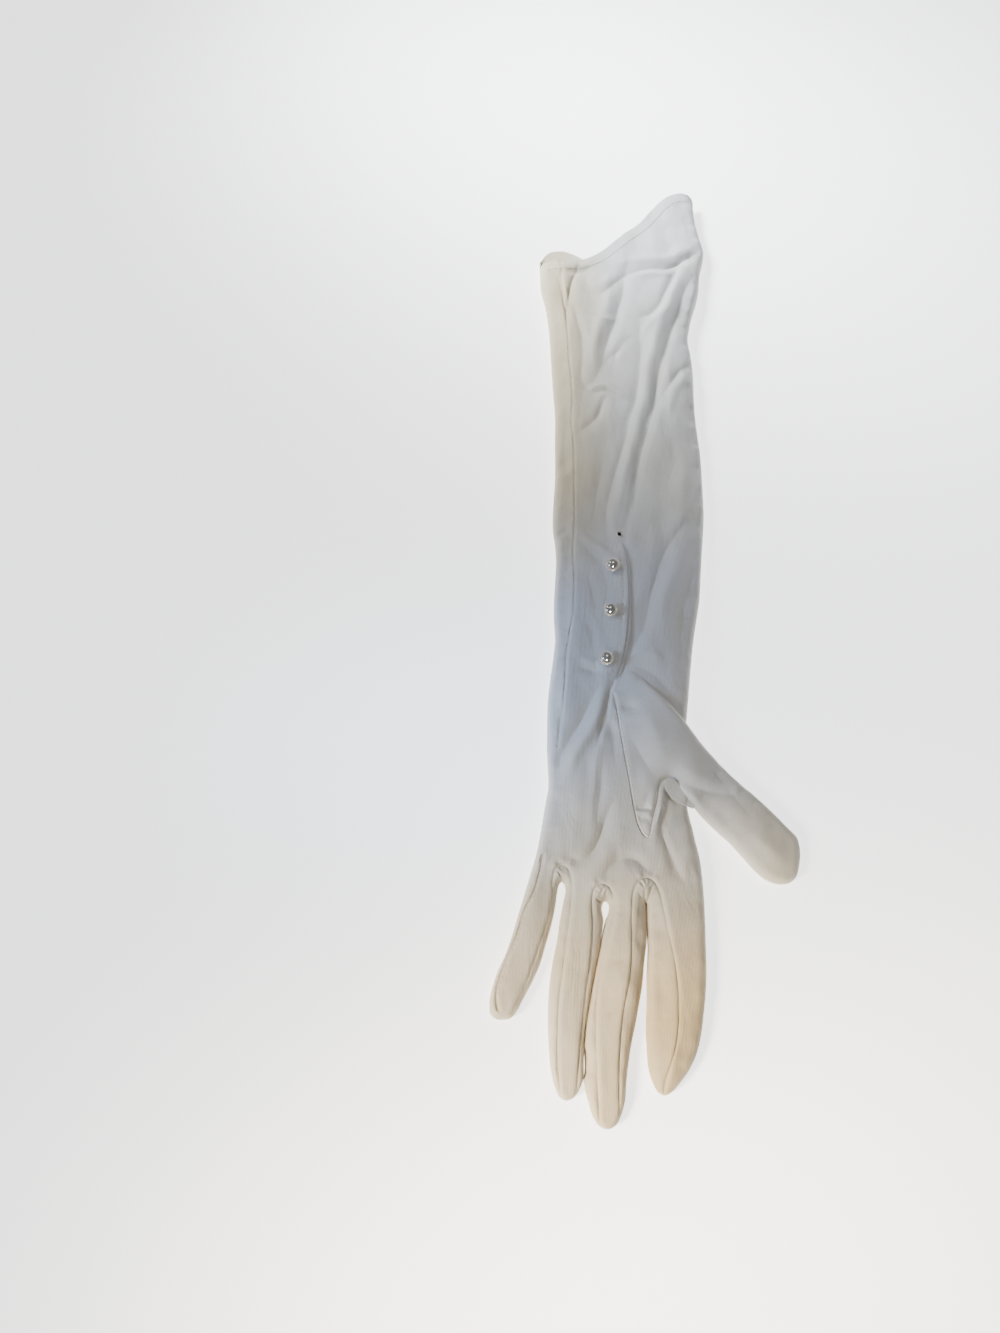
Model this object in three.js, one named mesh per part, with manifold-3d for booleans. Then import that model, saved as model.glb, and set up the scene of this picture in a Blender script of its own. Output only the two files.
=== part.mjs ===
// A left-hand evening glove of thin knitted nylon, lying palm up with its fingers towards -Y.
// Millimetres, +Z up. The back of the glove lies flat on z = 0, and the origin is the middle of its footprint.
// Every cloth piece is a thin wall round one hollow, which runs from the open cuff into all five fingers.

import * as THREE from 'three';
import { mergeVertices } from 'three/addons/utils/BufferGeometryUtils.js';
import Module from 'manifold-3d';

// Driving dimensions
const WALL = 1.2; // cloth, with the air that a loose knit holds
const SEAM_GAP = 0.3; // between two cloth pieces at a seam
const ARM_EDGE = 2.5; // radius of the soft fold at the glove's long edges
const FINGER_EDGE = 2.4;
const CROWN_POWER = 3; // how flat the puffed top is across its width
const FOLD_MARGIN = 7; // folds die away this far from a side edge
const HALF_HEIGHT = 5; // level that parts the palm side from the back
const BAND_WIDTH = 11; // strip along the placket that carries the buttonholes
const BAND_THICKNESS = 1.2;
const BAND_LIFT = 0.3; // band to the cloth below it
const SLIT_WIDTH = 0.7;
const BUTTONHOLE_RADIUS = 1.6;
const SHANK_RADIUS = 1.1;
const CUP_RADIUS = 3.05;
const CUP_HEIGHT = 1.7;
const PEARL_RADIUS = 2.3;
const PEARL_HEIGHT = 3; // a flattened dome
const ROUND_SIDES = 12;

const wasm = await Module();
wasm.setup();

// A table is a heading of column names and short rows of numbers
function table(heading, rows) {
  const names = heading.split(' ');
  return rows.map((row) => Object.fromEntries(names.map((name, i) => [name, row[i]])));
}

// Arm and hand: sections from beyond the cuff down to the finger roots
const ARM = table('y low high crown', [
  [228, -39.6, 41.8, 8.4],
  [215, -39.6, 42, 8.8],
  [202, -39.6, 43.2, 9.2],
  [190, -39.5, 45.3, 9.6],
  [179, -39.6, 43.6, 9.8],
  [165, -39.1, 41.4, 10.2],
  [152, -36.6, 38.2, 10.6],
  [138, -35.4, 34.3, 10.8],
  [124, -34.8, 34.5, 11],
  [105, -34.1, 34.8, 11],
  [82, -33.5, 34.7, 11],
  [60, -34.2, 35.6, 10.8],
  [39, -35.4, 35.1, 10.6],
  [20, -34.7, 33.2, 10.4],
  [2, -35, 31, 10.2],
  [-16, -35.9, 28.2, 10],
  [-35, -36.7, 24.7, 9.8],
  [-54, -39.2, 22.1, 9.8],
  [-74, -40, 19.8, 10],
  [-94, -39.8, 18.2, 10],
  [-110, -42.8, 20, 9.8],
  [-121, -45.2, 22.1, 8.2],
  [-129, -47.6, 22.7, 5.4],
]);

// Fingers: sections across each, from inside the hand to the tip
const FINGERS = {
  little: table('y low high crown', [
    [-106, -40, -27, 8.8],
    [-120, -44.2, -32, 9],
    [-129, -47.7, -34.8, 8.8],
    [-141, -51.4, -37.5, 8.8],
    [-153, -55.3, -40.7, 8.6],
    [-164, -59.8, -44.1, 8.4],
    [-173, -63, -48.2, 8],
    [-180, -64.3, -52.4, 6.8],
    [-183.4, -63.5, -54.4, 5.4],
    [-185.2, -61, -57.6, 3.8],
  ]),
  ring: table('y low high crown', [
    [-106, -31, -14, 9.4],
    [-120, -33, -16, 9.4],
    [-129, -34.4, -15.4, 9.2],
    [-136, -34, -16.4, 9.2],
    [-141, -34.8, -19, 9.2],
    [-155, -37.2, -20, 9.2],
    [-167, -39.8, -22.9, 9],
    [-179, -41.2, -25.3, 8.8],
    [-193, -41.3, -27.6, 8.4],
    [-204, -40.3, -28.4, 7.6],
    [-210.4, -38.7, -29.4, 6],
    [-214.2, -36.4, -33, 3.8],
  ]),
  middle: table('y low high crown', [
    [-106, -16, 0, 9.8],
    [-120, -17.4, 0.2, 9.8],
    [-129, -19, 1.4, 9.6],
    [-136, -18.4, 0.4, 9.5],
    [-141, -16.7, -1.1, 9.4],
    [-155, -18.7, -1.2, 9.2],
    [-167, -21.6, -2.7, 9.2],
    [-179, -24, -5.3, 9],
    [-193, -26.4, -8.7, 8.8],
    [-208, -27.5, -11.6, 8],
    [-217, -26, -13.3, 6.6],
    [-222.2, -23.2, -15.8, 5],
    [-224.3, -21, -17.8, 3.8],
  ]),
  index: table('y low high crown', [
    [-106, 1, 18.8, 9.6],
    [-120, -0.8, 21.8, 9.6],
    [-129, -2.6, 22.7, 9.4],
    [-136, -1.7, 22.9, 9.4],
    [-141, -0.3, 23, 9.4],
    [-152, 0.2, 22.6, 9.2],
    [-165, -1.2, 22.1, 9.2],
    [-179, -2.5, 20.6, 9],
    [-190, -3.3, 18.3, 8.6],
    [-199, -3.2, 15.3, 7.8],
    [-205.5, -2.2, 11.2, 6.6],
    [-210, -0.2, 7, 5],
    [-212.4, 1.6, 4, 3.8],
  ]),
};

// Thumb: sections from its seam on the palm to the tip. It rises over the hand's edge and comes down beside it
const THUMB = table('x low high floorLow floorHigh crown', [
  [-12.4, -58.5, -52, 5.6, 5.6, 4.8],
  [-8, -79, -48.5, 5, 5.6, 6.2],
  [-4, -101, -46.5, 5, 5.8, 7],
  [0.2, -114, -45.3, 5, 6.4, 7.4],
  [4.4, -104.5, -49.5, 5.2, 7.6, 7.4],
  [8.4, -93, -53.4, 6.6, 8.8, 7],
  [12, -91, -57, 8.2, 9.2, 7],
  [16, -95.5, -61.3, 7.6, 8.6, 7],
  [20, -100.8, -66.2, 5.9, 6.9, 7.4],
  [24, -105.3, -71.5, 2.6, 3.6, 8.2],
  [28, -109.3, -76.6, 0.5, 1, 8.8],
  [32.5, -113.7, -82, 0, 0, 9.2],
  [38, -119.7, -88.6, 0, 0, 9.2],
  [44.5, -127.2, -94.4, 0, 0, 9.2],
  [50, -132, -99.4, 0, 0, 9],
  [55, -133.2, -104.6, 0, 0, 8.4],
  [59.5, -131.6, -109.6, 0, 0, 7.4],
  [63.1, -126.4, -113.4, 0, 0, 5.6],
  [64.3, -121, -116.4, 0, 0, 3.8],
]);

// Main folds of the palm side: each runs from a to c through b, with its half width and height
const FOLDS = table('ax ay bx by cx cy width height', [
  [40, 181, 17, 133, -8, 26, 5, 2.2], // long ridge from the cuff to the placket
  [36, 168, 19, 120, -3, 22, 3.4, -1.8], // valley on its thumb side
  [9, 143, 5, 94, -12, 28, 3.6, -2], // valley on its little-finger side
  [-2, 176, 16, 173, 43, 186, 3.4, -2.4], // cross fold below the cuff peak
  [-4, 183, 14, 181, 38, 194, 5, 1.2], // roll of cloth above it
  [34, 178, 22, 156, 6, 142, 3.6, -1.8], // slanting valley under the cross fold
  [1.5, 170, -2, 145, -11, 106, 3.4, -1.5], // folds that hang from the cuff
  [-21.6, 154, -19, 127, -15, 98, 3.2, -1.2],
  [-15, 154, -14.5, 130, -13, 105, 4, 1.1],
  [-14, 104, -6, 101, 4, 94, 3, -1.2], // short cross folds of the forearm
  [-24, 77, -14, 86, -9, 95, 3.2, -1.1],
  [28, 114, 22, 104, 16, 92, 3.2, -1.1],
  [25, 32, 9, 2, -8, -44, 3.6, -1.5], // drag lines at the wrist
  [-16, -47, -24, -63, -39, -93, 3.6, -1.6],
  [-19.5, -84, -21, -98, -24, -118, 3.2, -1.2], // dents of the palm
  [-17, -129, -9, -124, 2, -130, 3, -0.9],
  [6, -110, 9, -120, 15, -134, 3.2, -0.9],
]);

const THUMB_FOLDS = table('ax ay bx by cx cy width height', [
  [15, -90, 30, -96, 45, -99, 3.2, -1],
]);

// Plan lines of the seams. A fourchette lies between two finger seams that meet round a crotch
const FOURCHETTES = {
  fourchette_little_ring: table('x y', [
    [-54, -177.6], [-50.2, -171.4], [-46.6, -163.8], [-43.4, -154.5], [-40.6, -146.4], [-38.6, -137],
    [-38.5, -130.4], [-37.4, -127], [-34.9, -125.7], [-32.3, -127], [-31.1, -131], [-31, -136],
    [-32, -146], [-34, -158], [-36, -172], [-37.6, -188], [-38, -201], [-43, -205], [-47, -188],
  ]),
  fourchette_ring_middle: table('x y', [
    [-30.2, -204.6], [-28.7, -191], [-26.8, -177], [-24.4, -163], [-23.2, -151], [-23.1, -139],
    [-21.8, -134.8], [-18.8, -133.4], [-15.8, -134.8], [-14.2, -139], [-14, -143], [-16.4, -151],
    [-19.4, -160], [-22, -174], [-23.1, -188], [-23.2, -201], [-22.8, -212], [-29, -215.5],
  ]),
  fourchette_middle_index: table('x y', [
    [-15.2, -214.6], [-14, -197], [-12, -182], [-9, -170], [-7.8, -156], [-7.2, -142],
    [-6, -135.6], [-3.6, -132], [-1, -131], [1.8, -132.2], [4.2, -137], [6.4, -148],
    [8.7, -161], [9.6, -174], [9.2, -185], [7.6, -195], [3.6, -204.4], [-4.4, -209], [-8, -216],
  ]),
};

// Small gusset at the root of the thumb
const QUIRK = table('x y', [
  [8.6, -90], [12, -90.6], [16, -95.4], [20.4, -101.4], [14.6, -100.6], [10, -98.4],
]);

// Mouth of the cuff: the palm side runs up to a peak, the back is cut nearly level
const MOUTH_PALM = table('x y', [
  [-48, 179.4], [-21, 179.2], [-14, 181], [-8, 184.6], [3, 196.3], [14, 206], [24, 218.4],
  [30, 223], [35, 224.3], [39.6, 222.2], [48, 215],
]);
const MOUTH_BACK = table('x y', [
  [-48, 191], [-31, 193.4], [-21, 190.4], [-14, 186.6], [-7, 185.5], [3, 194.6], [14, 204.4],
  [24, 216.8], [30, 221.4], [35, 222.8], [39.6, 220.7], [48, 214],
]);

// Free edge of the placket, from its top at the little hole down to the thumb seam
const PLACKET = table('x y', [
  [-5.6, 20.4], [-3.6, 15], [-2.8, 6], [-2.6, -6], [-3, -18], [-4.6, -29], [-7, -39], [-10.6, -49.4],
]);
const PLACKET_HOLE = { x: -5.6, y: 23, radius: 1.4 };
const BUTTONS = table('x y', [[-9.5, 6.8], [-11.7, -15.1], [-13.8, -37.6]]);

// Smooth value of one column between its rows, with the slope at a row taken from its neighbours
function column(rows, key, name, t) {
  const sign = Math.sign(rows[1][key] - rows[0][key]);
  let i = 0;
  while (i < rows.length - 2 && sign * (t - rows[i + 1][key]) > 0) i += 1;
  const slope = (k) => {
    const before = rows[Math.max(k - 1, 0)];
    const after = rows[Math.min(k + 1, rows.length - 1)];
    return (after[name] - before[name]) / (after[key] - before[key]);
  };
  const step = rows[i + 1][key] - rows[i][key];
  const u = THREE.MathUtils.clamp((t - rows[i][key]) / step, 0, 1);
  const v = 1 - u;
  return (1 + 2 * u) * v * v * rows[i][name] + u * v * v * step * slope(i)
    + u * u * (3 - 2 * u) * rows[i + 1][name] - u * u * v * step * slope(i + 1);
}

// Places of the sections: the rows themselves, or a steady pitch from the first to the last
function stations(rows, key, pitch) {
  if (!pitch) return rows.map((row) => row[key]);
  const first = rows[0][key];
  const last = rows[rows.length - 1][key];
  const count = Math.round(Math.abs(last - first) / pitch);
  return Array.from({ length: count + 1 }, (_, i) => THREE.MathUtils.lerp(first, last, i / count));
}

// Height that a list of folds adds to the cloth at a place
function foldCurves(folds) {
  return folds.map((fold) => {
    const a = new THREE.Vector2(fold.ax, fold.ay);
    const c = new THREE.Vector2(fold.cx, fold.cy);
    const pull = new THREE.Vector2(2 * fold.bx, 2 * fold.by).addScaledVector(a, -0.5).addScaledVector(c, -0.5);
    return { ...fold, points: new THREE.QuadraticBezierCurve(a, pull, c).getPoints(16) };
  });
}

function foldHeight(curves, x, y) {
  let height = 0;
  for (const { points, width, height: rise } of curves) {
    let nearest = Infinity;
    let along = 0;
    for (let i = 0; i < points.length - 1; i += 1) {
      const dx = points[i + 1].x - points[i].x;
      const dy = points[i + 1].y - points[i].y;
      const dot = (x - points[i].x) * dx + (y - points[i].y) * dy;
      const t = THREE.MathUtils.clamp(dot / (dx * dx + dy * dy), 0, 1);
      const away = Math.hypot(x - points[i].x - t * dx, y - points[i].y - t * dy);
      if (away < nearest) {
        nearest = away;
        along = (i + t) / (points.length - 1);
      }
    }
    const taper = Math.sqrt(Math.sin(Math.PI * THREE.MathUtils.clamp(along, 0.02, 0.98)));
    height += rise * taper * Math.exp(-((nearest / width) ** 2));
  }
  return height;
}

// One section of a cloth tube: flat below, softly rounded edges, puffed on top.
// The inset moves it inwards for the hollow. Points are [across, up], going round once
function clothSection({ low, high, floorLow = 0, floorHigh = 0, crown, edge, inset, bump, belowCount, topCount }) {
  const turns = inset > 0 ? [0] : [-0.25, 0, 0.25];
  const outerHalf = (high - low) / 2;
  const bend = Math.min(edge, outerHalf * 0.9);
  const radius = Math.max(bend - inset, 0.25);
  const left = low + inset + radius;
  const right = high - inset - radius;
  const floor = (a) => THREE.MathUtils.lerp(floorLow, floorHigh, (a - low) / (high - low)) + inset;
  const top = Math.max(crown, 2 * bend);
  const points = [];
  for (let i = 0; i <= belowCount; i += 1) {
    const a = THREE.MathUtils.lerp(left, right, i / belowCount);
    points.push([a, floor(a)]);
  }
  for (const turn of turns) {
    const angle = turn * Math.PI;
    points.push([right + radius * Math.cos(angle), floor(right) + radius * (1 + Math.sin(angle))]);
  }
  for (let i = 0; i <= topCount; i += 1) {
    const u = i / topCount;
    const a = THREE.MathUtils.lerp(right, left, u);
    const puff = 1 - Math.abs(2 * u - 1) ** CROWN_POWER;
    const margin = Math.min(a - low, high - a) / FOLD_MARGIN;
    const share = THREE.MathUtils.smoothstep(margin, 0.3, 1);
    points.push([a, floor(a) + 2 * radius + (top - 2 * bend) * puff + bump(a) * share]);
  }
  for (const turn of turns) {
    const angle = (1 + turn) * Math.PI;
    points.push([left + radius * Math.cos(angle), floor(left) + radius * (1 + Math.sin(angle))]);
  }
  return points;
}

// A closed skin through rings of points, with a fan at each end
function skin(rings) {
  const count = rings[0].length;
  const positions = rings.flat(2);
  const faces = [];
  for (let i = 0; i < rings.length - 1; i += 1) {
    for (let k = 0; k < count; k += 1) {
      const a = i * count + k;
      const b = i * count + ((k + 1) % count);
      faces.push(a, b, b + count, a, b + count, a + count);
    }
  }
  for (const [first, flip] of [[0, true], [(rings.length - 1) * count, false]]) {
    const middle = positions.length / 3;
    for (let axis = 0; axis < 3; axis += 1) {
      let sum = 0;
      for (let k = 0; k < count; k += 1) sum += positions[3 * (first + k) + axis];
      positions.push(sum / count);
    }
    for (let k = 0; k < count; k += 1) {
      const a = first + k;
      const b = first + ((k + 1) % count);
      if (flip) faces.push(middle, b, a);
      else faces.push(middle, a, b);
    }
  }
  const geometry = new THREE.BufferGeometry();
  geometry.setAttribute('position', new THREE.Float32BufferAttribute(positions, 3));
  geometry.setIndex(faces);
  return geometry;
}

// A solid from any closed three.js geometry
function solid(geometry) {
  geometry.deleteAttribute('normal');
  geometry.deleteAttribute('uv');
  const merged = mergeVertices(geometry, 1e-5);
  const body = new wasm.Manifold(new wasm.Mesh({
    numProp: 3,
    vertProperties: new Float32Array(merged.attributes.position.array),
    triVerts: new Uint32Array(merged.index.array),
  }));
  return body;
}

// Tube of cloth along Y (arm and fingers) or along X (thumb)
function clothTube(rows, { key, edge, inset = 0, folds = [], pitch = 0, belowCount, topCount }) {
  const curves = foldCurves(folds);
  const width = (t) => column(rows, key, 'high', t) - column(rows, key, 'low', t);
  const places = stations(rows, key, pitch).filter((t) => width(t) > 2 * inset + 2);
  const rings = places.map((t) => {
    const names = Object.keys(rows[0]).filter((name) => name !== key);
    const values = Object.fromEntries(names.map((name) => [name, column(rows, key, name, t)]));
    const bump = (a) => (key === 'y' ? foldHeight(curves, a, t) : foldHeight(curves, t, a));
    const section = clothSection({ ...values, edge, inset, bump, belowCount, topCount });
    return section.map(([a, z]) => (key === 'y' ? [a, t, z] : [t, a, z]));
  });
  const forward = Math.sign(rows[1][key] - rows[0][key]);
  const turned = key === 'y' ? forward > 0 : forward < 0;
  return solid(skin(turned ? rings.map((ring) => [...ring].reverse()) : rings));
}

// Upright cutter over a closed plan line, from one level to another, grown sideways if asked
function prism(plan, bottom, top, growth = 0) {
  const n = plan.length;
  const area = plan.reduce((sum, p, i) => {
    const q = plan[(i + 1) % n];
    return sum + p.x * q.y - q.x * p.y;
  }, 0);
  const outward = Math.sign(area) * growth;
  const points = plan.map((p, i) => {
    const before = plan[(i + n - 1) % n];
    const after = plan[(i + 1) % n];
    const normal = new THREE.Vector2(after.y - before.y, before.x - after.x).normalize();
    return new THREE.Vector2(p.x + normal.x * outward, p.y + normal.y * outward);
  });
  const shape = new THREE.Shape(points);
  const geometry = new THREE.ExtrudeGeometry(shape, { depth: top - bottom, bevelEnabled: false });
  geometry.translate(0, 0, bottom);
  return solid(geometry);
}

// Strip of plan between a line and the same line moved across
function strip(line, from, to) {
  const moved = (distance) => line.map(({ x, y }) => ({ x: x + distance, y }));
  return [...moved(from), ...moved(to).reverse()];
}

function disc({ x, y }, radius, sides = ROUND_SIDES) {
  return Array.from({ length: sides }, (_, i) => ({
    x: x + radius * Math.cos((2 * Math.PI * i) / sides),
    y: y + radius * Math.sin((2 * Math.PI * i) / sides),
  }));
}

// Outer and inner bodies of the cloth
const ARM_OPTIONS = { key: 'y', edge: ARM_EDGE, folds: FOLDS, pitch: 9, belowCount: 2, topCount: 16 };
const FINGER_OPTIONS = { key: 'y', edge: FINGER_EDGE, folds: FOLDS, belowCount: 1, topCount: 6 };
const THUMB_OPTIONS = { key: 'x', edge: FINGER_EDGE, folds: THUMB_FOLDS, belowCount: 2, topCount: 7 };

function handBody(inset) {
  let body = clothTube(ARM, { ...ARM_OPTIONS, inset });
  for (const rows of Object.values(FINGERS)) {
    body = body.add(clothTube(rows, { ...FINGER_OPTIONS, inset }));
  }
  return body;
}

function thumbBody(inset) {
  return clothTube(THUMB, { ...THUMB_OPTIONS, inset });
}

// Space beyond the mouth, which trims the cloth: the palm side above the middle level, the back below it
function beyondMouth() {
  const beyond = (line) => [...line, { x: 60, y: 250 }, { x: -60, y: 250 }];
  return prism(beyond(MOUTH_PALM), HALF_HEIGHT, 40).add(prism(beyond(MOUTH_BACK), -10, HALF_HEIGHT + 0.001));
}

const handOuter = handBody(0);
const handInner = handBody(WALL);
const hand = handOuter.subtract(handInner).subtract(beyondMouth());
const thumbRoom = thumbBody(-SEAM_GAP);

// Palm, back and arm in one piece of cloth, folded at the forefinger's side
function trank() {
  let cloth = hand.subtract(thumbRoom);
  for (const plan of Object.values(FOURCHETTES)) {
    cloth = cloth.subtract(prism(plan, -10, 30, SEAM_GAP));
  }
  cloth = cloth.subtract(prism(QUIRK, HALF_HEIGHT - 3, 30, SEAM_GAP));
  const slit = strip(PLACKET.slice(0, -1), -4, -4 + SLIT_WIDTH);
  cloth = cloth.subtract(prism(slit, HALF_HEIGHT, 30));
  return cloth.subtract(prism(disc(PLACKET_HOLE, PLACKET_HOLE.radius, 10), HALF_HEIGHT, 30));
}

// Strip between two fingers, which makes their facing sides
function fourchette(plan) {
  return hand.intersect(prism(plan, -10, 30));
}

function quirk() {
  return hand.subtract(thumbRoom).intersect(prism(QUIRK, HALF_HEIGHT - 3 + SEAM_GAP, 30));
}

function thumb() {
  return thumbBody(0).subtract(thumbBody(WALL)).subtract(handInner);
}

// Top of the hand's cloth at a place, without the thumb
function handTop(x, y) {
  const values = {};
  for (const name of ['low', 'high', 'crown']) values[name] = column(ARM, 'y', name, y);
  const { low, high, crown } = values;
  const u = (x - low - ARM_EDGE) / (high - low - 2 * ARM_EDGE);
  const puff = 1 - Math.abs(2 * u - 1) ** CROWN_POWER;
  return 2 * ARM_EDGE + (crown - 2 * ARM_EDGE) * puff + foldHeight(foldCurves(FOLDS), x, y);
}

// Turned strip along the placket's free edge, lying on the cloth and following it down its length
function placketBand() {
  const across = [0, 0.25, 0.5, 0.75, 1].map((share) => -share * BAND_WIDTH);
  const clearance = 0.15; // the hand's cloth is faceted, so its edges stand a little above its curve
  const rings = PLACKET.map(({ x, y }) => {
    const level = across.map((dx) => handTop(x + dx, y) + BAND_LIFT + clearance);
    const below = across.map((dx, i) => [x + dx, y, level[i]]);
    const above = across.map((dx, i) => [x + dx, y, level[i] + BAND_THICKNESS]);
    return [...below.reverse(), ...above];
  });
  let band = solid(skin(rings)).subtract(thumbRoom);
  for (const button of BUTTONS) {
    band = band.subtract(prism(disc(button, BUTTONHOLE_RADIUS, 10), 0, 30));
  }
  return band;
}

// Metal cup on a short shank that passes the buttonhole, and the pearl set in it
function buttonSeat({ x, y }) {
  return handTop(x, y) + 2 * BAND_LIFT + BAND_THICKNESS + 0.15;
}

function buttonCup(button) {
  const shank = BAND_THICKNESS + BAND_LIFT;
  const profile = [
    [0, -shank], [SHANK_RADIUS, -shank], [SHANK_RADIUS, 0], [CUP_RADIUS - 0.7, 0], [CUP_RADIUS, 0.9],
    [CUP_RADIUS, CUP_HEIGHT], [CUP_RADIUS - 0.45, CUP_HEIGHT], [CUP_RADIUS - 0.5, 1], [1.6, 0.5], [0, 0.5],
  ];
  const geometry = new THREE.LatheGeometry(profile.map(([r, z]) => new THREE.Vector2(r, z)), ROUND_SIDES);
  geometry.rotateX(Math.PI / 2);
  geometry.translate(button.x, button.y, buttonSeat(button));
  return solid(geometry);
}

function buttonPearl(button) {
  const geometry = new THREE.SphereGeometry(PEARL_RADIUS, ROUND_SIDES, 6);
  geometry.rotateX(Math.PI / 2);
  geometry.scale(1, 1, PEARL_HEIGHT / (2 * PEARL_RADIUS));
  geometry.translate(button.x, button.y, buttonSeat(button) + 0.5 + SEAM_GAP + PEARL_HEIGHT / 2);
  return solid(geometry);
}

// Materials and the finished scene graph
const CLOTH = new THREE.MeshStandardMaterial({ color: 0xe4dfd4, roughness: 0.7, metalness: 0 });
const METAL = new THREE.MeshStandardMaterial({ color: 0xa9987a, roughness: 0.35, metalness: 1 });
const PEARL = new THREE.MeshStandardMaterial({ color: 0xe9e4da, roughness: 0.2, metalness: 0 });

const glove = new THREE.Group();

function place(name, body, material) {
  const { vertProperties, triVerts } = body.getMesh();
  const geometry = new THREE.BufferGeometry();
  geometry.setAttribute('position', new THREE.BufferAttribute(new Float32Array(vertProperties), 3));
  geometry.setIndex(new THREE.BufferAttribute(new Uint32Array(triVerts), 1));
  const mesh = new THREE.Mesh(geometry, material.clone());
  mesh.name = name;
  glove.add(mesh);
}

place('trank', trank(), CLOTH);
place('thumb', thumb(), CLOTH);
place('thumb_quirk', quirk(), CLOTH);
for (const [name, plan] of Object.entries(FOURCHETTES)) place(name, fourchette(plan), CLOTH);
place('placket_band', placketBand(), CLOTH);
BUTTONS.forEach((button, i) => {
  place(`button_${i + 1}_cup`, buttonCup(button), METAL);
  place(`button_${i + 1}_pearl`, buttonPearl(button), PEARL);
});

export default glove;
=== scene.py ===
"""Evening glove of thin ivory nylon tricot, lying palm up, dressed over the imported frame. Metres in Blender."""

import math

import bmesh
import bpy
import numpy as np
from mathutils import Euler, Matrix, Vector, noise
from mathutils.bvhtree import BVHTree
from mathutils.geometry import delaunay_2d_cdt


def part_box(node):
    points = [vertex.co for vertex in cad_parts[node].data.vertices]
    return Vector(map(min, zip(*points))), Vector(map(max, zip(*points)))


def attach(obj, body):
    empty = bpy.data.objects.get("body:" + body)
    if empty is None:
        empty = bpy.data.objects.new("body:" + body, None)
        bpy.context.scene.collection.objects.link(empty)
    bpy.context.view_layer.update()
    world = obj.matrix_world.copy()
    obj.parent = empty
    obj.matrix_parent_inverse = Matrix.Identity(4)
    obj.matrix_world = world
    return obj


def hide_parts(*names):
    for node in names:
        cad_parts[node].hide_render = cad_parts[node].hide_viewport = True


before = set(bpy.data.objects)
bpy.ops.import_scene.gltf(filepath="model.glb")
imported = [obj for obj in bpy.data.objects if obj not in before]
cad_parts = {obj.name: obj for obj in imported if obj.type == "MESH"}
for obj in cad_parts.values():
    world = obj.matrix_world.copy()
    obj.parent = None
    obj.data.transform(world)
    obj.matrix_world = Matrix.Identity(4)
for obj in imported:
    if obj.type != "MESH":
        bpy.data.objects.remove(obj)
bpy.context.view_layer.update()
bpy.ops.object.select_all(action="DESELECT")

# Camera
# It stands over the fingers and looks down at about 70 degrees, so the whole glove is seen from fingertips to cuff.
camera_data = bpy.data.cameras.new("view")
camera_data.sensor_fit = "VERTICAL"
camera_data.sensor_height = 36
camera_data.lens = 27
camera = bpy.data.objects.new("view", camera_data)
camera.location = (-0.060, -0.189, 0.417)
camera.rotation_euler = (math.radians(20), 0, 0)
bpy.context.scene.collection.objects.link(camera)
bpy.context.scene.camera = camera

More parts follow.
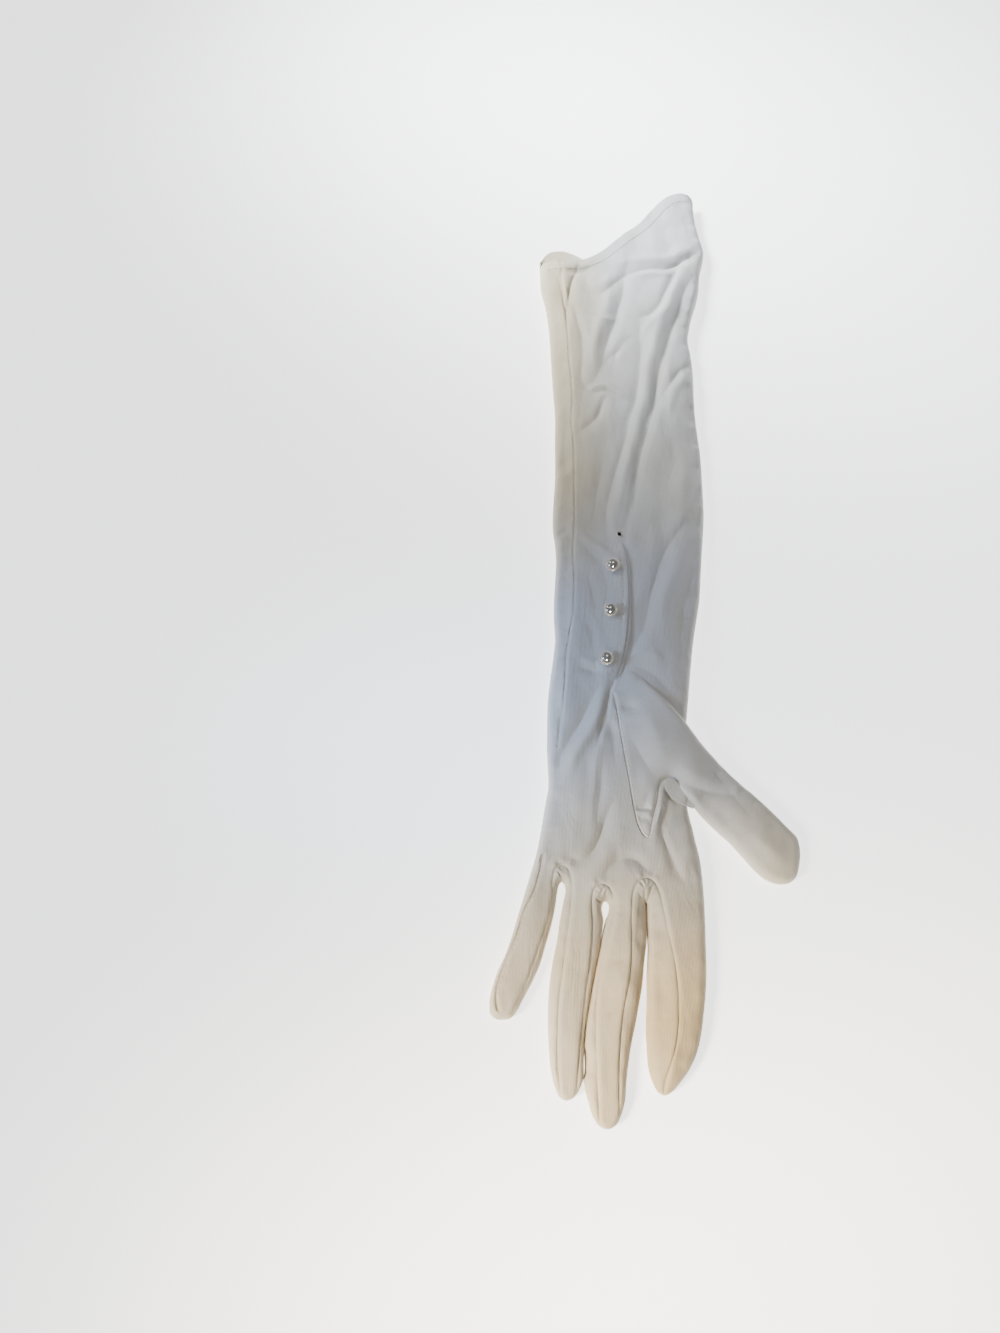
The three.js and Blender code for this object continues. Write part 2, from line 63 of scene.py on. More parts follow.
# Trank
# The trank is one piece of tricot that makes palm, back and arm. It is folded at the forefinger's side and sewn
# up the little finger's side. It lies flat on its back, with air inside, soft round edges and long drag folds.
LAID_EDGE = [
    (-39, 242), (-39.2, 205), (-39.6, 190), (-39.5, 174.9), (-39.1, 165.4), (-37.2, 156), (-35.5, 140.7),
    (-34.8, 122.7), (-34.1, 105.1), (-33.4, 88), (-33.7, 76.8), (-34.1, 54.9), (-35.3, 38.9), (-35.5, 28.5),
    (-34.7, 20.8), (-34.4, 13.1), (-35, 3.1), (-35.7, -6.8), (-35.9, -16.6), (-35.6, -26.2), (-36.7, -35.6),
    (-38.1, -45), (-39.2, -54.2), (-39.8, -67.7), (-40, -76.6), (-39.7, -85.3), (-39.8, -94), (-40.7, -98.2),
    (-43, -110.9), (-45.2, -121.2), (-47.7, -129.3), (-51.5, -141.3), (-55.2, -153.1), (-58, -160.8),
    (-60.8, -166.5), (-62.8, -172.2), (-64.3, -179.6), (-63.9, -183), (-61.9, -184.8), (-58.8, -185.2),
    (-55.7, -184.5), (-53, -181.5), (-51, -177.8), (-47.8, -172.2), (-44.1, -164.6), (-41.6, -156.9),
    (-38.7, -147.2), (-37.4, -141.3), (-36.5, -135.8), (-35.6, -132.8), (-34.8, -132), (-33.9, -132.8),
    (-33.4, -135.2), (-34.4, -140.2), (-35.9, -147.2), (-37.2, -155), (-39, -162.7), (-40.3, -170.3),
    (-41.2, -179.6), (-41.4, -188.8), (-41.1, -196.1), (-40.5, -203.2), (-39, -209.6), (-37.2, -213.1),
    (-35, -214.2), (-32.3, -213.5), (-30, -211), (-28.05, -206.6), (-27.3, -192.5), (-24.8, -177.8),
    (-22.35, -166.5), (-19.6, -155.4), (-18.75, -150.4), (-18.15, -147.2), (-18.6, -144.2), (-18.6, -141.6),
    (-18, -140.2), (-17.1, -139.8), (-16.1, -140.6), (-15.8, -142.4), (-16.4, -144.8), (-17.6, -147.4),
    (-18.4, -150.6), (-19.3, -155), (-22.19, -166.5), (-24.64, -177.8), (-27.14, -192.5), (-27.85, -206),
    (-27.5, -210.6), (-26.4, -214.8), (-24.9, -219.7), (-22.4, -223.1), (-19.4, -224.2), (-15.9, -222.5),
    (-13.9, -219), (-12.2, -213.8), (-11.6, -208.5), (-10.5, -201.5), (-9, -194.3), (-7.1, -187), (-5.2, -178.9),
    (-3.7, -172.2), (-2.4, -162.7), (-1.4, -157), (-1.08, -151), (-1.08, -145.3), (-1.1, -141.4), (-1, -140.4),
    (-0.9, -141.4), (-0.92, -145.3), (-0.92, -151), (-0.85, -155.4), (-1.2, -160.5), (-1.9, -168), (-2.4, -177.8),
    (-3.3, -188.8), (-3.3, -196.1), (-2.9, -203.2), (-1.6, -207.8), (0.5, -211.4), (2.7, -212.4), (5.4, -211.4),
    (8.7, -208.2), (12.4, -203.9), (15.4, -199), (17.8, -192.5), (19.4, -185.2), (20.7, -177.8), (21.7, -170.3),
    (22.2, -162.7), (22.6, -151.1), (23, -139.3), (22.8, -131.3), (22.5, -124), (21.3, -117.1), (19.8, -108.8),
    (18.4, -100.5), (18.6, -90), (19.6, -78), (20, -70), (20.8, -62), (21.6, -57), (22.3, -52), (23.4, -44),
    (24.6, -35.6), (26.1, -26.2), (28.1, -16.6), (30.1, -6.8), (31.2, 3.1), (32.4, 13.1), (33.3, 20.8), (34.3, 28.5),
    (35.1, 38.9), (35.3, 49.5), (35.6, 60.3), (35.4, 71.2), (34.7, 82.4), (34.5, 93.6), (34.8, 105.1), (35.1, 116.8),
    (34.3, 127.4), (33.8, 134.6), (34.6, 139.5), (36.6, 148), (39.2, 156), (41.4, 165.4), (42.5, 174.9),
    (44.6, 183.2), (45.5, 189), (44.4, 195.5), (42.9, 204), (42, 214), (42.1, 222.8), (42, 242),
]
MOUTH_FRONT = [
    (-48, 179.6), (-31.4, 179.6), (-21.7, 178.9), (-15.1, 180.6), (-8.8, 184.4), (-2.4, 190.5), (3, 196),
    (12.6, 204.2), (18.2, 211.6), (23.8, 217.9), (30.3, 222.8), (34.8, 224.2), (38.8, 223.9), (42, 222.6), (48, 220),
]
MOUTH_BACK = [
    (-48, 174), (-41, 181), (-38.4, 187), (-34.4, 191.8), (-28.6, 193.2), (-21, 190.6), (-14.4, 185.8), (-7, 184),
    (3, 193.6), (14, 203), (24, 215.4), (30, 220.4), (35, 221.8), (39, 221.4), (42, 220), (48, 217),
]
CROWNS = [
    (-225, 6.6), (-210, 7.6), (-190, 8.6), (-160, 9.2), (-130, 9.6), (-94, 10), (-54, 9.9), (-16, 10), (20, 10.4),
    (60, 10.8), (105, 11), (138, 10.8), (165, 10.2), (200, 9.3), (228, 8.6),
]
EDGE_RADIUS = 2.6
PUFF_REACH = 13
HEM_WIDTH = 5.2
CALM_EDGE = 3.5
LAP_STEP, LAP_REACH = 0.35, 4
SLIT_DEPTH = 0.6
SHUT_BY = 0.12
EDGE_ROWS = ((0.2, 0.15), (0.78, 0.4), (1.6, 0.6), (2.6, 0.7), (3.9, 0.8))  # depth inside the edge, gap of points
SEAM_WIDTH, ROLL_AWAY, GATHER_REACH = 0.42, 1.5, 5.5
VALLEY_CREASE, RIDGE_CREASE = 0.45, 0.1

# Sewn lines of the hand: each fourchette lies inside its line, which goes up one finger, round the crotch and down
# the next, and the two last points close it beyond the fingertips.
FINGER_SEAMS = {
    "little_ring": [
        (-57, -186.5), (-55, -182), (-52.6, -177.2), (-49.9, -172.1), (-47, -164.8), (-44.2, -157.3),
        (-40.9, -147.6), (-38.7, -137.5), (-38.6, -131), (-37.4, -127.2), (-34.9, -125.8), (-32.5, -127.2),
        (-31.2, -131), (-31, -136), (-31.7, -143.7), (-33.5, -155.3), (-35.3, -166.7), (-36.9, -177.9),
        (-37.7, -188.8), (-37.9, -199.6), (-37.4, -207.5), (-37, -215), (-46, -206),
    ],
    "ring_middle": [
        (-31.3, -216), (-30.7, -209), (-30, -203.5), (-29.2, -195.5), (-28, -186), (-26.6, -176.5), (-25, -167.5),
        (-23.7, -158.5), (-22.9, -147.6), (-23, -140), (-21.9, -135.1), (-19, -133.4), (-16, -134.8),
        (-14.4, -138.5), (-14, -142.5), (-15.6, -149.6), (-18.4, -157.6), (-20.6, -166.7), (-22.2, -177.9),
        (-23, -188.8), (-23.1, -199.6), (-22.9, -210.1), (-22.6, -219), (-22.6, -227), (-29, -218),
    ],
    "middle_index": [
        (-14.9, -226), (-14.9, -219), (-14.8, -212), (-14.4, -202.6), (-13.5, -192.4), (-11.9, -181.6), (-9.8, -173),
        (-8.3, -165), (-7.7, -155.3), (-7.2, -143), (-6.2, -136), (-4.1, -132.4), (-1, -131.1), (1.9, -132.4),
        (4.1, -136.4), (5.6, -144), (7, -152.5), (8.4, -160.5), (9.3, -168.6), (9.5, -177.9), (9, -186),
        (7.8, -193.4), (5.6, -200), (3, -207), (2, -216), (-7, -214),
    ],
}
ARM_SEAM = [
    (-29.5, 179), (-28.9, 160.2), (-27.6, 148), (-26.9, 135.9), (-26.4, 118.1), (-25.7, 106.6), (-25.5, 95.2),
    (-26.2, 84), (-25.5, 72.9), (-25.6, 51.4), (-26.1, 30.5), (-26.9, 17.7), (-26.9, 0.3), (-27.7, -14.3),
    (-29.3, -23.8), (-31.3, -35.5), (-32, -47.1), (-33, -56.1), (-34.5, -65.1), (-35.6, -76),
]
LITTLE_SEAM = [
    (-42.6, -122), (-44.3, -130), (-46.4, -136.5), (-49.6, -142.5), (-53.3, -153.4), (-56.8, -161.1),
    (-59.6, -168.6), (-61.6, -176), (-61, -181),
]
THUMB_SEAM = [
    (-11.4, -53), (-10.3, -58.7), (-9.6, -64), (-8.6, -72), (-7.6, -80), (-6.7, -87.1), (-5.8, -94), (-4.9, -101),
    (-3.5, -108.6), (-1.4, -113.6), (0.3, -115.2), (1.4, -113.4), (2.2, -109.6), (3.5, -105), (5, -99.8), (6, -95),
    (7.2, -91.8), (8.9, -90.3), (11.2, -90.2), (13.2, -91.6),
]
PLACKET_EDGE = [
    (-6.2, 22.6), (-4, 18), (-2.9, 12.5), (-2.3, 6), (-2.2, -5.5), (-3, -18), (-4.4, -29), (-6.9, -39),
    (-10.4, -49.4),
]

# Folds of the palm side, as height, reach to the left and right of the way they run, and their line in mm.
# A valley has a negative height, and an uneven reach makes one side steep.
PALM_FOLDS = [
    (1.6, 4.5, 2.6, [(38.3, 176.9), (32.8, 170.6), (26, 158.1), (21.4, 145.9), (16.2, 132.1), (12.4, 117.4),
        (9.8, 103), (6.7, 88.9), (2.6, 72.3), (-1.3, 58.8), (-4.6, 45.5), (-7.4, 34), (-8.9, 23)]),
    (-1.7, 2.2, 3.4, [(43, 175), (37, 169), (32.5, 160), (29, 148.3), (25.2, 136.3), (21, 124.4), (17.6, 112.7),
        (15.2, 99), (12.4, 86.1), (8.6, 72.3), (5.4, 60.4), (1.9, 45.5), (-1, 32.5), (-3.2, 19)]),
    (-1.2, 3.4, 2, [(8.6, 138), (9, 123.2), (7.6, 108.7), (5, 94.5), (1.7, 83.3), (-1.7, 69.5), (-5, 58.8),
        (-8.2, 48.1), (-10.6, 37.7), (-11.7, 27.4), (-11.5, 20)]),
    (-1.6, 1.5, 1.9, [(1, 167.6), (5, 170.6), (10, 172.4), (18, 174.6), (24, 175.2), (30, 177), (36, 181.6),
        (43, 187)]),
    (1.2, 3.4, 2.2, [(-4, 176.4), (6, 178), (16, 179.6), (26, 181), (34, 185.4), (42, 191)]),
    (0.9, 1.6, 1.6, [(6, 167.6), (14, 169.6), (22, 170.4), (27, 170)]),
    (-1.4, 1.4, 2.2, [(30, 176.4), (28.6, 171), (25.4, 164.3), (21.6, 156), (17.6, 148.6), (13, 144.2), (9.2, 142.6),
        (5, 145)]),
    (1, 2, 2, [(24, 151), (18, 143), (13, 137), (10.5, 128)]),
    (1.1, 3, 2.6, [(-6, 166), (-6.4, 154), (-9.6, 142), (-13, 131), (-14.6, 120), (-13.6, 108)]),
    (0.7, 2, 2, [(-14, 168), (-12, 163), (-7, 165), (-3, 170)]),
    (-0.8, 1.8, 2.2, [(-17, 148.6), (-12.6, 145), (-6, 144.6)]),
    (-0.9, 2, 2, [(5.4, 131), (1, 127.6), (-3.6, 121), (-6.4, 113)]),
    (-0.9, 2.2, 2.2, [(-24, 76), (-17.3, 81.6), (-12.4, 87.2), (-9.4, 94)]),
    (-1.2, 1.8, 2.8, [(33, 118), (28.3, 113.9), (24, 107), (19.7, 100.1), (17, 93.3)]),
    (0.8, 2.2, 2.2, [(31, 112), (27, 105), (23, 97), (20.6, 86)]),
    (-1, 1.4, 1.4, [(32.6, 119.7), (31.7, 105.1), (31.5, 95.4), (32, 80)]),
    (0.6, 5, 5, [(-18, 70), (-17, 52), (-18, 32)]),
    (-0.8, 5, 4, [(-12, 72), (-13.6, 56), (-15.6, 40), (-17, 24)]),
    (-0.6, 6, 6, [(24, 84), (21, 66), (17, 44)]),
    (0.9, 4, 5, [(27, 60), (24, 40), (21.4, 24)]),
    (-1.5, 2.8, 4, [(26, 34), (22.6, 27), (17.9, 19.7), (12.6, 9.7), (9.4, -0.2), (6.6, -9.9), (3.8, -20.4),
        (0.2, -28.9), (-4, -36.5), (-7.4, -43)]),
    (0.8, 3.4, 3, [(30, 26), (24, 16), (18, 4), (13.6, -8), (10.6, -20), (7, -29)]),
    (-0.7, 3, 3, [(31.4, 20), (28, 8), (23, -6), (20, -22), (17.6, -36)]),
    (0.5, 3, 3.4, [(27.6, -2), (25, -16), (22.6, -32)]),
    (0.9, 1.3, 1.4, [(-24, 24), (-18.6, 19), (-14.6, 16.4), (-10.6, 12.6), (-6.4, 11)]),
    (-0.8, 2, 2, [(-22, 17.6), (-17.4, 12.4), (-14, 9.6)]),
    (-1, 1.6, 1.6, [(-35.4, 22.4), (-31, 26), (-26.6, 27)]),
    (0.7, 1.8, 1.8, [(-35, 17), (-31, 21), (-27, 21.6)]),
    (-0.9, 2.6, 2.6, [(-20.6, 4), (-19, -6), (-17, -14)]),
    (-0.7, 3, 2.6, [(-22, -20), (-19, -28), (-21, -34)]),
    (-1.1, 1.4, 1.8, [(-26.4, -40.8), (-21.4, -42), (-16, -42.4)]),
    (1, 1.4, 1.6, [(-25, -36.8), (-20.6, -37.8), (-17.6, -36.4)]),
    (0.7, 1.5, 1.8, [(-5, -38.4), (-1.5, -35.4), (2.6, -34), (6.6, -34.6), (11, -38)]),
    (-1.4, 5, 4.6, [(-6, -42), (-1, -40.4), (5, -43.4), (11, -50), (16.4, -57), (20.6, -63)]),
    (-1, 0.9, 0.9, [(7.6, -92.6), (9.2, -97), (12.2, -100.2), (16.4, -102.2)]),
    (-1.5, 1.6, 3.4, [(-16.6, -48), (-18.6, -52.6), (-23.7, -62.5), (-30.4, -73.6), (-34.4, -81), (-37, -92)]),
    (1.3, 2.2, 2.4, [(-13.6, -52), (-17.4, -62), (-22.6, -72), (-28, -80.6), (-32, -90)]),
    (-2, 0.9, 1.5, [(-9, -44), (-11.3, -49.6), (-13, -56), (-15, -63.6), (-17.4, -70.6), (-19, -78)]),
    (0.9, 1.2, 1.4, [(3.6, -111), (5, -106), (6.4, -100.6), (7.6, -95.8), (9, -93.2)]),
    (1, 1.6, 2.2, [(-31, 175), (-24, 176.2), (-18, 175.4), (-13.6, 178.4)]),
    (-1, 1.6, 1.8, [(-31, 171.4), (-25, 172.2), (-19, 171.2), (-14.6, 173.6)]),
    (0.8, 1.8, 1.8, [(-16, -63), (-17.6, -72), (-19.4, -84.9), (-20.6, -95.6), (-22.2, -106), (-23.4, -114)]),
    (-0.7, 3, 3, [(-12.6, -66), (-12, -74), (-12.6, -82)]),
    (-0.9, 1.8, 3, [(-16.6, -84), (-17.8, -95), (-19.4, -104), (-21, -112)]),
    (-2, 2.4, 2.2, [(-13.4, -100), (-16.4, -107), (-19.4, -115.4), (-23, -121.4), (-27, -123.6), (-31.4, -122.2)]),
    (0.8, 3.4, 3.4, [(-9, -110), (-13, -117), (-18, -123), (-22.4, -128)]),
    (-1.8, 2.4, 2.4, [(-18, -131), (-15.6, -127), (-11.4, -124), (-6.2, -123.6), (-2.2, -126.4), (0.4, -130)]),
    (-1.4, 1.5, 2.4, [(10.6, -97.4), (9, -104), (6.4, -110.6), (8, -117.8), (11, -125.1), (14, -133)]),
    (0.9, 2, 2.4, [(7.6, -95), (6.2, -102), (3.8, -110), (2.6, -117)]),
    (0.7, 3, 3, [(14, -108), (16.4, -119), (18.6, -131)]),
    (-0.7, 1.6, 2, [(-18.4, -184), (-14.6, -181), (-10.4, -179)]),
    (0.7, 2.4, 2.4, [(-17.8, -177), (-13.6, -173), (-9.4, -170)]),
    (-0.5, 2, 2, [(-17.4, -166), (-13.4, -163.6), (-9.2, -162)]),
    (-0.5, 3, 3, [(-33, -160), (-30.6, -166), (-28, -170)]),
    (-0.5, 2.6, 2.6, [(1.6, -160), (3.4, -172), (3.4, -186)]),
    (0.5, 2, 2, [(5.4, -196), (6.6, -203), (5, -208)]),
    (-0.5, 2.4, 2.4, [(-46, -136), (-51.6, -150), (-57, -166)]),
    (-1.5, 3, 3.4, [(4.6, 178), (3.6, 172.2), (2, 160.9), (-2.7, 142.7), (-6.2, 131.4), (-9.8, 118.4),
        (-13.2, 107.5), (-14, 102)]),
    (-1.1, 0.9, 1.6, [(-31.4, 174), (-30.3, 168.8), (-28.9, 159.1), (-27.9, 151.4), (-27.2, 146)]),
    (-1.3, 1.5, 0.9, [(-20, 177), (-21.5, 172.8), (-24.1, 164), (-25.8, 155.2), (-27.2, 147.6), (-26.8, 139)]),
    (1, 1.6, 1.6, [(-27, 174.4), (-27, 165), (-27, 156)]),
    (-0.9, 1.4, 2, [(-23.6, 159), (-23.9, 153.3), (-21.5, 141.9), (-19.9, 130.6), (-19.8, 119.5), (-20.6, 110.4),
        (-18.7, 103.2), (-15.8, 100.1), (-12, 99)]),
    (0.9, 1.4, 1.6, [(-18, 100), (-15.8, 101.4), (-8.1, 103.2), (-3, 98.7), (1.4, 97), (6, 94)]),
    (-0.8, 1.4, 1.8, [(-16, 98), (-8, 99.6), (-3.4, 95.4), (2, 93)]),
    (-0.8, 1.2, 1.6, [(-14.4, 84), (-13.2, 87.3), (-10, 94.3), (-7.6, 98)]),
    (-0.7, 1.2, 1.6, [(-10, 114), (-7.6, 118.6), (-3.6, 122.3), (2.6, 125)]),
    (0.7, 1.2, 1.4, [(-17, 146), (-14.4, 144.7), (-9.1, 141.9), (-5.2, 142.3), (-2, 144)]),
    (-0.8, 1.3, 1.8, [(-18, 160.4), (-16.3, 160.1), (-10.1, 158.1), (-2.8, 164), (2.2, 168.8)]),
]
SHORT_DENTS = [  # height, reach, place
    (-1.2, 3.4, (-12.6, -69)), (-1.3, 3, (-2, -59)), (-0.9, 4.4, (-30, 62)), (-0.8, 6, (14, 30)),
    (-1, 2, (-35, -126.6)), (0.9, 4, (-2, 20)), (-0.8, 5, (-5, 112)), (0.7, 7, (20, 190)), (-0.8, 6, (30, 201)),
    (0.6, 5, (-26, -100)),
]
GATHERS = [  # short sharp puckers where each fourchette is gathered round its crotch
    (-0.9, 0.4, 0.4, [(-36.3, -128.2), (-36, -129.2), (-35.2, -130.1), (-34.6, -131.4)]),
    (-0.8, 0.35, 0.4, [(-34.8, -131.2), (-33.9, -131.6), (-33, -132.4)]),
    (-0.9, 0.4, 0.4, [(-37.2, -132.6), (-36.7, -133.6), (-36.6, -134.6)]),
    (-1.3, 0.45, 0.5, [(-21.4, -139.2), (-20.4, -139.9), (-19.2, -140.3), (-18.2, -140.7)]),
    (-0.7, 0.35, 0.4, [(-18.4, -134.8), (-18.9, -136), (-19.5, -137.3), (-19.6, -139.4)]),
    (-0.5, 0.35, 0.4, [(-17, -135.4), (-17.3, -137.2), (-17.2, -139)]),
    (-0.8, 0.35, 0.35, [(-15.1, -140.8), (-15.6, -141.8), (-15.7, -142.8)]),
    (-0.8, 0.35, 0.35, [(-3.6, -132.6), (-3, -133.6), (-2.3, -135)]),
    (-0.7, 0.35, 0.4, [(-1.4, -135.2), (-1.9, -136.6), (-1.9, -138.4), (-1, -140.4)]),
    (-0.5, 0.35, 0.35, [(1.4, -134.4), (0.5, -136.6), (-0.6, -139.8)]),
    (-0.5, 0.35, 0.35, [(-4.8, -136.4), (-3.4, -138.4), (-1.4, -140)]),
]
GATHERED_DOMES = [(1, 2.4, (-35.4, -128.8)), (1.1, 2.6, (-18.9, -136.4)), (1.2, 2.8, (-1.4, -135.6))]
BACK_FOLDS = [
    (0.9, 4, 4, [(-20, 150), (-10, 110), (-14, 70), (-6, 30)]),
    (0.8, 4, 4, [(22, 170), (16, 130), (18, 90)]),
    (0.9, 3, 4, [(14, 40), (8, 0), (-4, -34), (-18, -60)]),
    (0.8, 3, 3, [(-26, 10), (-22, -30), (-24, -70)]),
    (0.7, 3, 3, [(6, -60), (-2, -90), (-8, -120)]),
    (0.6, 3, 3, [(-24, -92), (-26, -112), (-28, -128)]),
]

CLOSED_GAPS = [  # where two fingers press against each other
    [(-18.6, -150.5), (-19.45, -155.2), (-22.27, -166.5), (-24.72, -177.8), (-27.22, -192.5), (-27.95, -206.3)],
    [(-1, -141), (-1, -145.3), (-1, -151), (-1.1, -156.2)],
]
CROTCHES = [(-34.9, -126.2), (-19, -133.8), (-1, -131.5)]
EYELET, EYELET_RADIUS = (-5.6, 23), 0.85


def grown(value, full):
    """How far a value has come to its full size, from 0 to 1."""
    return np.clip(value / full, 0, 1)


def bell(value, width):
    """A soft bump round zero."""
    return np.exp(-(value / width) ** 2)


def quarter_round(share):
    """Height of a quarter circle at a share of its radius."""
    return np.sqrt(1 - (1 - np.clip(share, 0, 1)) ** 2)


def distance(places, spot):
    """How far each place is from a spot."""
    return np.hypot(*(places - spot).T)


def drawn(points, pitch, closed=False):
    """A smooth line through the points, as close-set points about a pitch apart."""
    knots = np.array(points + points[:1] if closed else points, float)
    step = np.diff(knots, axis=0)
    length = np.hypot(*step.T)[:, None]
    way = step / length
    if closed:
        before, shorter = np.roll(way, 1, axis=0), np.roll(length, 1, axis=0)
        heading = (before * length + way * shorter) / (length + shorter)
        heading = np.vstack([heading, heading[:1]])
    else:
        heading = (way[:-1] * length[1:] + way[1:] * length[:-1]) / (length[1:] + length[:-1])
        heading = np.vstack([way[:1], heading, way[-1:]])
    line = []
    for k, span in enumerate(length[:, 0]):
        for t in np.arange(max(1, round(span / pitch))) / max(1, round(span / pitch)):
            start, end = knots[k], knots[k + 1]
            line.append((1 + 2 * t) * (1 - t) ** 2 * start + t * (1 - t) ** 2 * span * heading[k]
                        + t * t * (3 - 2 * t) * end - t * t * (1 - t) * span * heading[k + 1])
    if not closed:
        line.append(knots[-1])
    return np.array(line)


def nearest_on(line, places):
    """For each place: its distance to the line, the side it is on (1 left, -1 right) and the way along, in mm."""
    step = np.diff(line, axis=0)
    length = np.hypot(*step.T)
    run = np.concatenate([[0], np.cumsum(length)])
    away = np.full(len(places), 1e9)
    side = np.ones(len(places))
    along = np.zeros(len(places))
    for start, way, span, before in zip(line, step, length, run):
        off = places - start
        t = np.clip(off @ way / span ** 2, 0, 1)
        gap = np.hypot(off[:, 0] - t * way[0], off[:, 1] - t * way[1])
        closer = gap < away
        away[closer] = gap[closer]
        side[closer] = np.sign(way[0] * off[closer, 1] - way[1] * off[closer, 0])
        along[closer] = before + t[closer] * span
    return away, side, along


def fold_relief(folds, places):
    """Height that a list of folds adds at each place. Valleys are creased, ridges are round, and both die away."""
    height = np.zeros(len(places))
    for number, (rise, left, right, points) in enumerate(folds):
        line = drawn(points, 3)
        margin = 4 * max(left, right)
        near = np.all((places > line.min(0) - margin) & (places < line.max(0) + margin), axis=1)
        away, side, along = nearest_on(line, places[near])
        share = np.clip(along / np.hypot(*np.diff(line, axis=0).T).sum(), 0.02, 0.98)
        reach = np.where(side > 0, left, right)
        crease = VALLEY_CREASE if rise < 0 else RIDGE_CREASE
        section = (1 - crease) * bell(away, reach) + crease * np.exp(-away / (0.45 * reach))
        uneven = 1 + 0.1 * np.sin(0.16 * along + number) + 0.04 * np.sin(0.5 * along + 2.1 * number)
        height[near] += rise * uneven * np.sin(math.pi * share) ** 0.6 * section
    return height


def seam_relief(line, places, depth, roll):
    """A sewn line sinks into the cloth between two soft rolls, which pucker along it, most where fingers part."""
    away, _, along = nearest_on(line, places)
    gathered = sum(bell(distance(places, spot), GATHER_REACH) for spot in CROTCHES)
    pucker = 1 + 0.35 * np.sin(along * 0.9 + 1.3 * np.sin(along * 0.23)) * np.exp(-away / 3)
    pucker += 1.3 * gathered * np.sin(2.3 * along)
    return -depth * bell(away, SEAM_WIDTH) + roll * pucker * bell(away - ROLL_AWAY, 1)


def waves(places, size, height, stretch=1.0, seed=0.0):
    """Soft unevenness of loose cloth, of a size across and longer along the glove."""
    found = [noise.noise(Vector((x / size, y / (size * stretch), seed))) for x, y in places]
    return height * np.array(found)


def spread(batches):
    """Points for a cloth mesh, batch by batch. A point within its batch's gap of an earlier one is left out."""
    grid, kept = {}, []
    for points, gap in batches:
        for x, y in points:
            cell = (math.floor(x), math.floor(y))
            near = (q for i in (-1, 0, 1) for j in (-1, 0, 1) for q in grid.get((cell[0] + i, cell[1] + j), ()))
            if all((q[0] - x) ** 2 + (q[1] - y) ** 2 >= gap * gap for q in near):
                grid.setdefault(cell, []).append((x, y))
                kept.append((x, y))
    return kept


def beside(line, offset):
    """The line moved sideways, to the left for a positive offset."""
    way = np.gradient(line, axis=0)
    way /= np.hypot(*way.T)[:, None]
    return line + offset * np.stack([-way[:, 1], way[:, 0]], axis=1)


def cut_cloth(edge, seams, creases, pitch, seam_rows=(0.4, 0.9, 1.8), cuts=(), fine_spots=()):
    """Mesh of the plan inside a closed edge: fine at the edge and along seams and creases. Seams stay mesh edges."""
    close = np.array([(0.45 * (i + j % 2 / 2), 0.39 * j) for i in range(-10, 11) for j in range(-12, 13)])
    ring = np.vstack([edge, edge[:1]])
    rows = []
    for depth, gap in EDGE_ROWS:
        row = beside(ring, depth)[:-1]
        rows.append((row[nearest_on(ring, row)[0] > 0.93 * depth], gap))
    rows += [(close + spot, 0.36) for spot in fine_spots]
    for offset in seam_rows:
        rows += [(beside(line, way * offset), 0.42) for line in seams for way in (1, -1)]
    for offset in (0, 0.7, -0.7):
        rows += [(beside(line, offset), 0.6) for line in creases]
    low, high = edge.min(0), edge.max(0)
    across, along = np.arange(low[0], high[0], pitch), np.arange(low[1], high[1], pitch * 0.87)
    field = np.array([(x + (j % 2) * pitch / 2, y) for j, y in enumerate(along) for x in across])
    field = field[inside(edge, field)]
    rows.append((field[nearest_on(ring, field)[0] > 4.9], 0.8 * pitch))
    kept = np.array(spread(rows))
    kept = kept[inside(edge, kept)]
    verts = [Vector(p) for p in edge]
    edges = [(k, (k + 1) % len(edge)) for k in range(len(edge))]
    for line in [*seams, *cuts]:
        kept = kept[nearest_on(line, kept)[0] > 0.35]
        first = len(verts)
        verts += [Vector(p) for p in line]
        edges += [(first + k, first + k + 1) for k in range(len(line) - 1)]
    verts += [Vector(p) for p in kept]
    found = delaunay_2d_cdt(verts, edges, [], 1, 1e-5)
    points, faces = np.array([tuple(v) for v in found[0]]), np.array([tuple(f) for f in found[2]])
    return points, faces[inside(edge, points[faces].mean(axis=1))]


def inside(edge, places):
    """Whether each place is inside a closed line."""
    within = np.zeros(len(places), bool)
    for (x0, y0), (x1, y1) in zip(edge, np.roll(edge, -1, axis=0)):
        if y0 == y1:
            continue
        spans = (y0 > places[:, 1]) != (y1 > places[:, 1])
        within ^= spans & (places[:, 0] < x0 + (places[:, 1] - y0) * (x1 - x0) / (y1 - y0))
    return within


def relaxed(values, triangles, held, passes):
    """Evens out a value over a mesh, keeping it where it is held."""
    pairs = np.vstack([triangles[:, [0, 1]], triangles[:, [1, 2]], triangles[:, [2, 0]]])
    count = np.maximum(np.bincount(pairs.ravel(), minlength=len(values)), 1)
    for _ in range(passes):
        total = np.bincount(pairs[:, 0], values[pairs[:, 1]], len(values))
        total += np.bincount(pairs[:, 1], values[pairs[:, 0]], len(values))
        values = np.where(held, values, total / count)
    return values


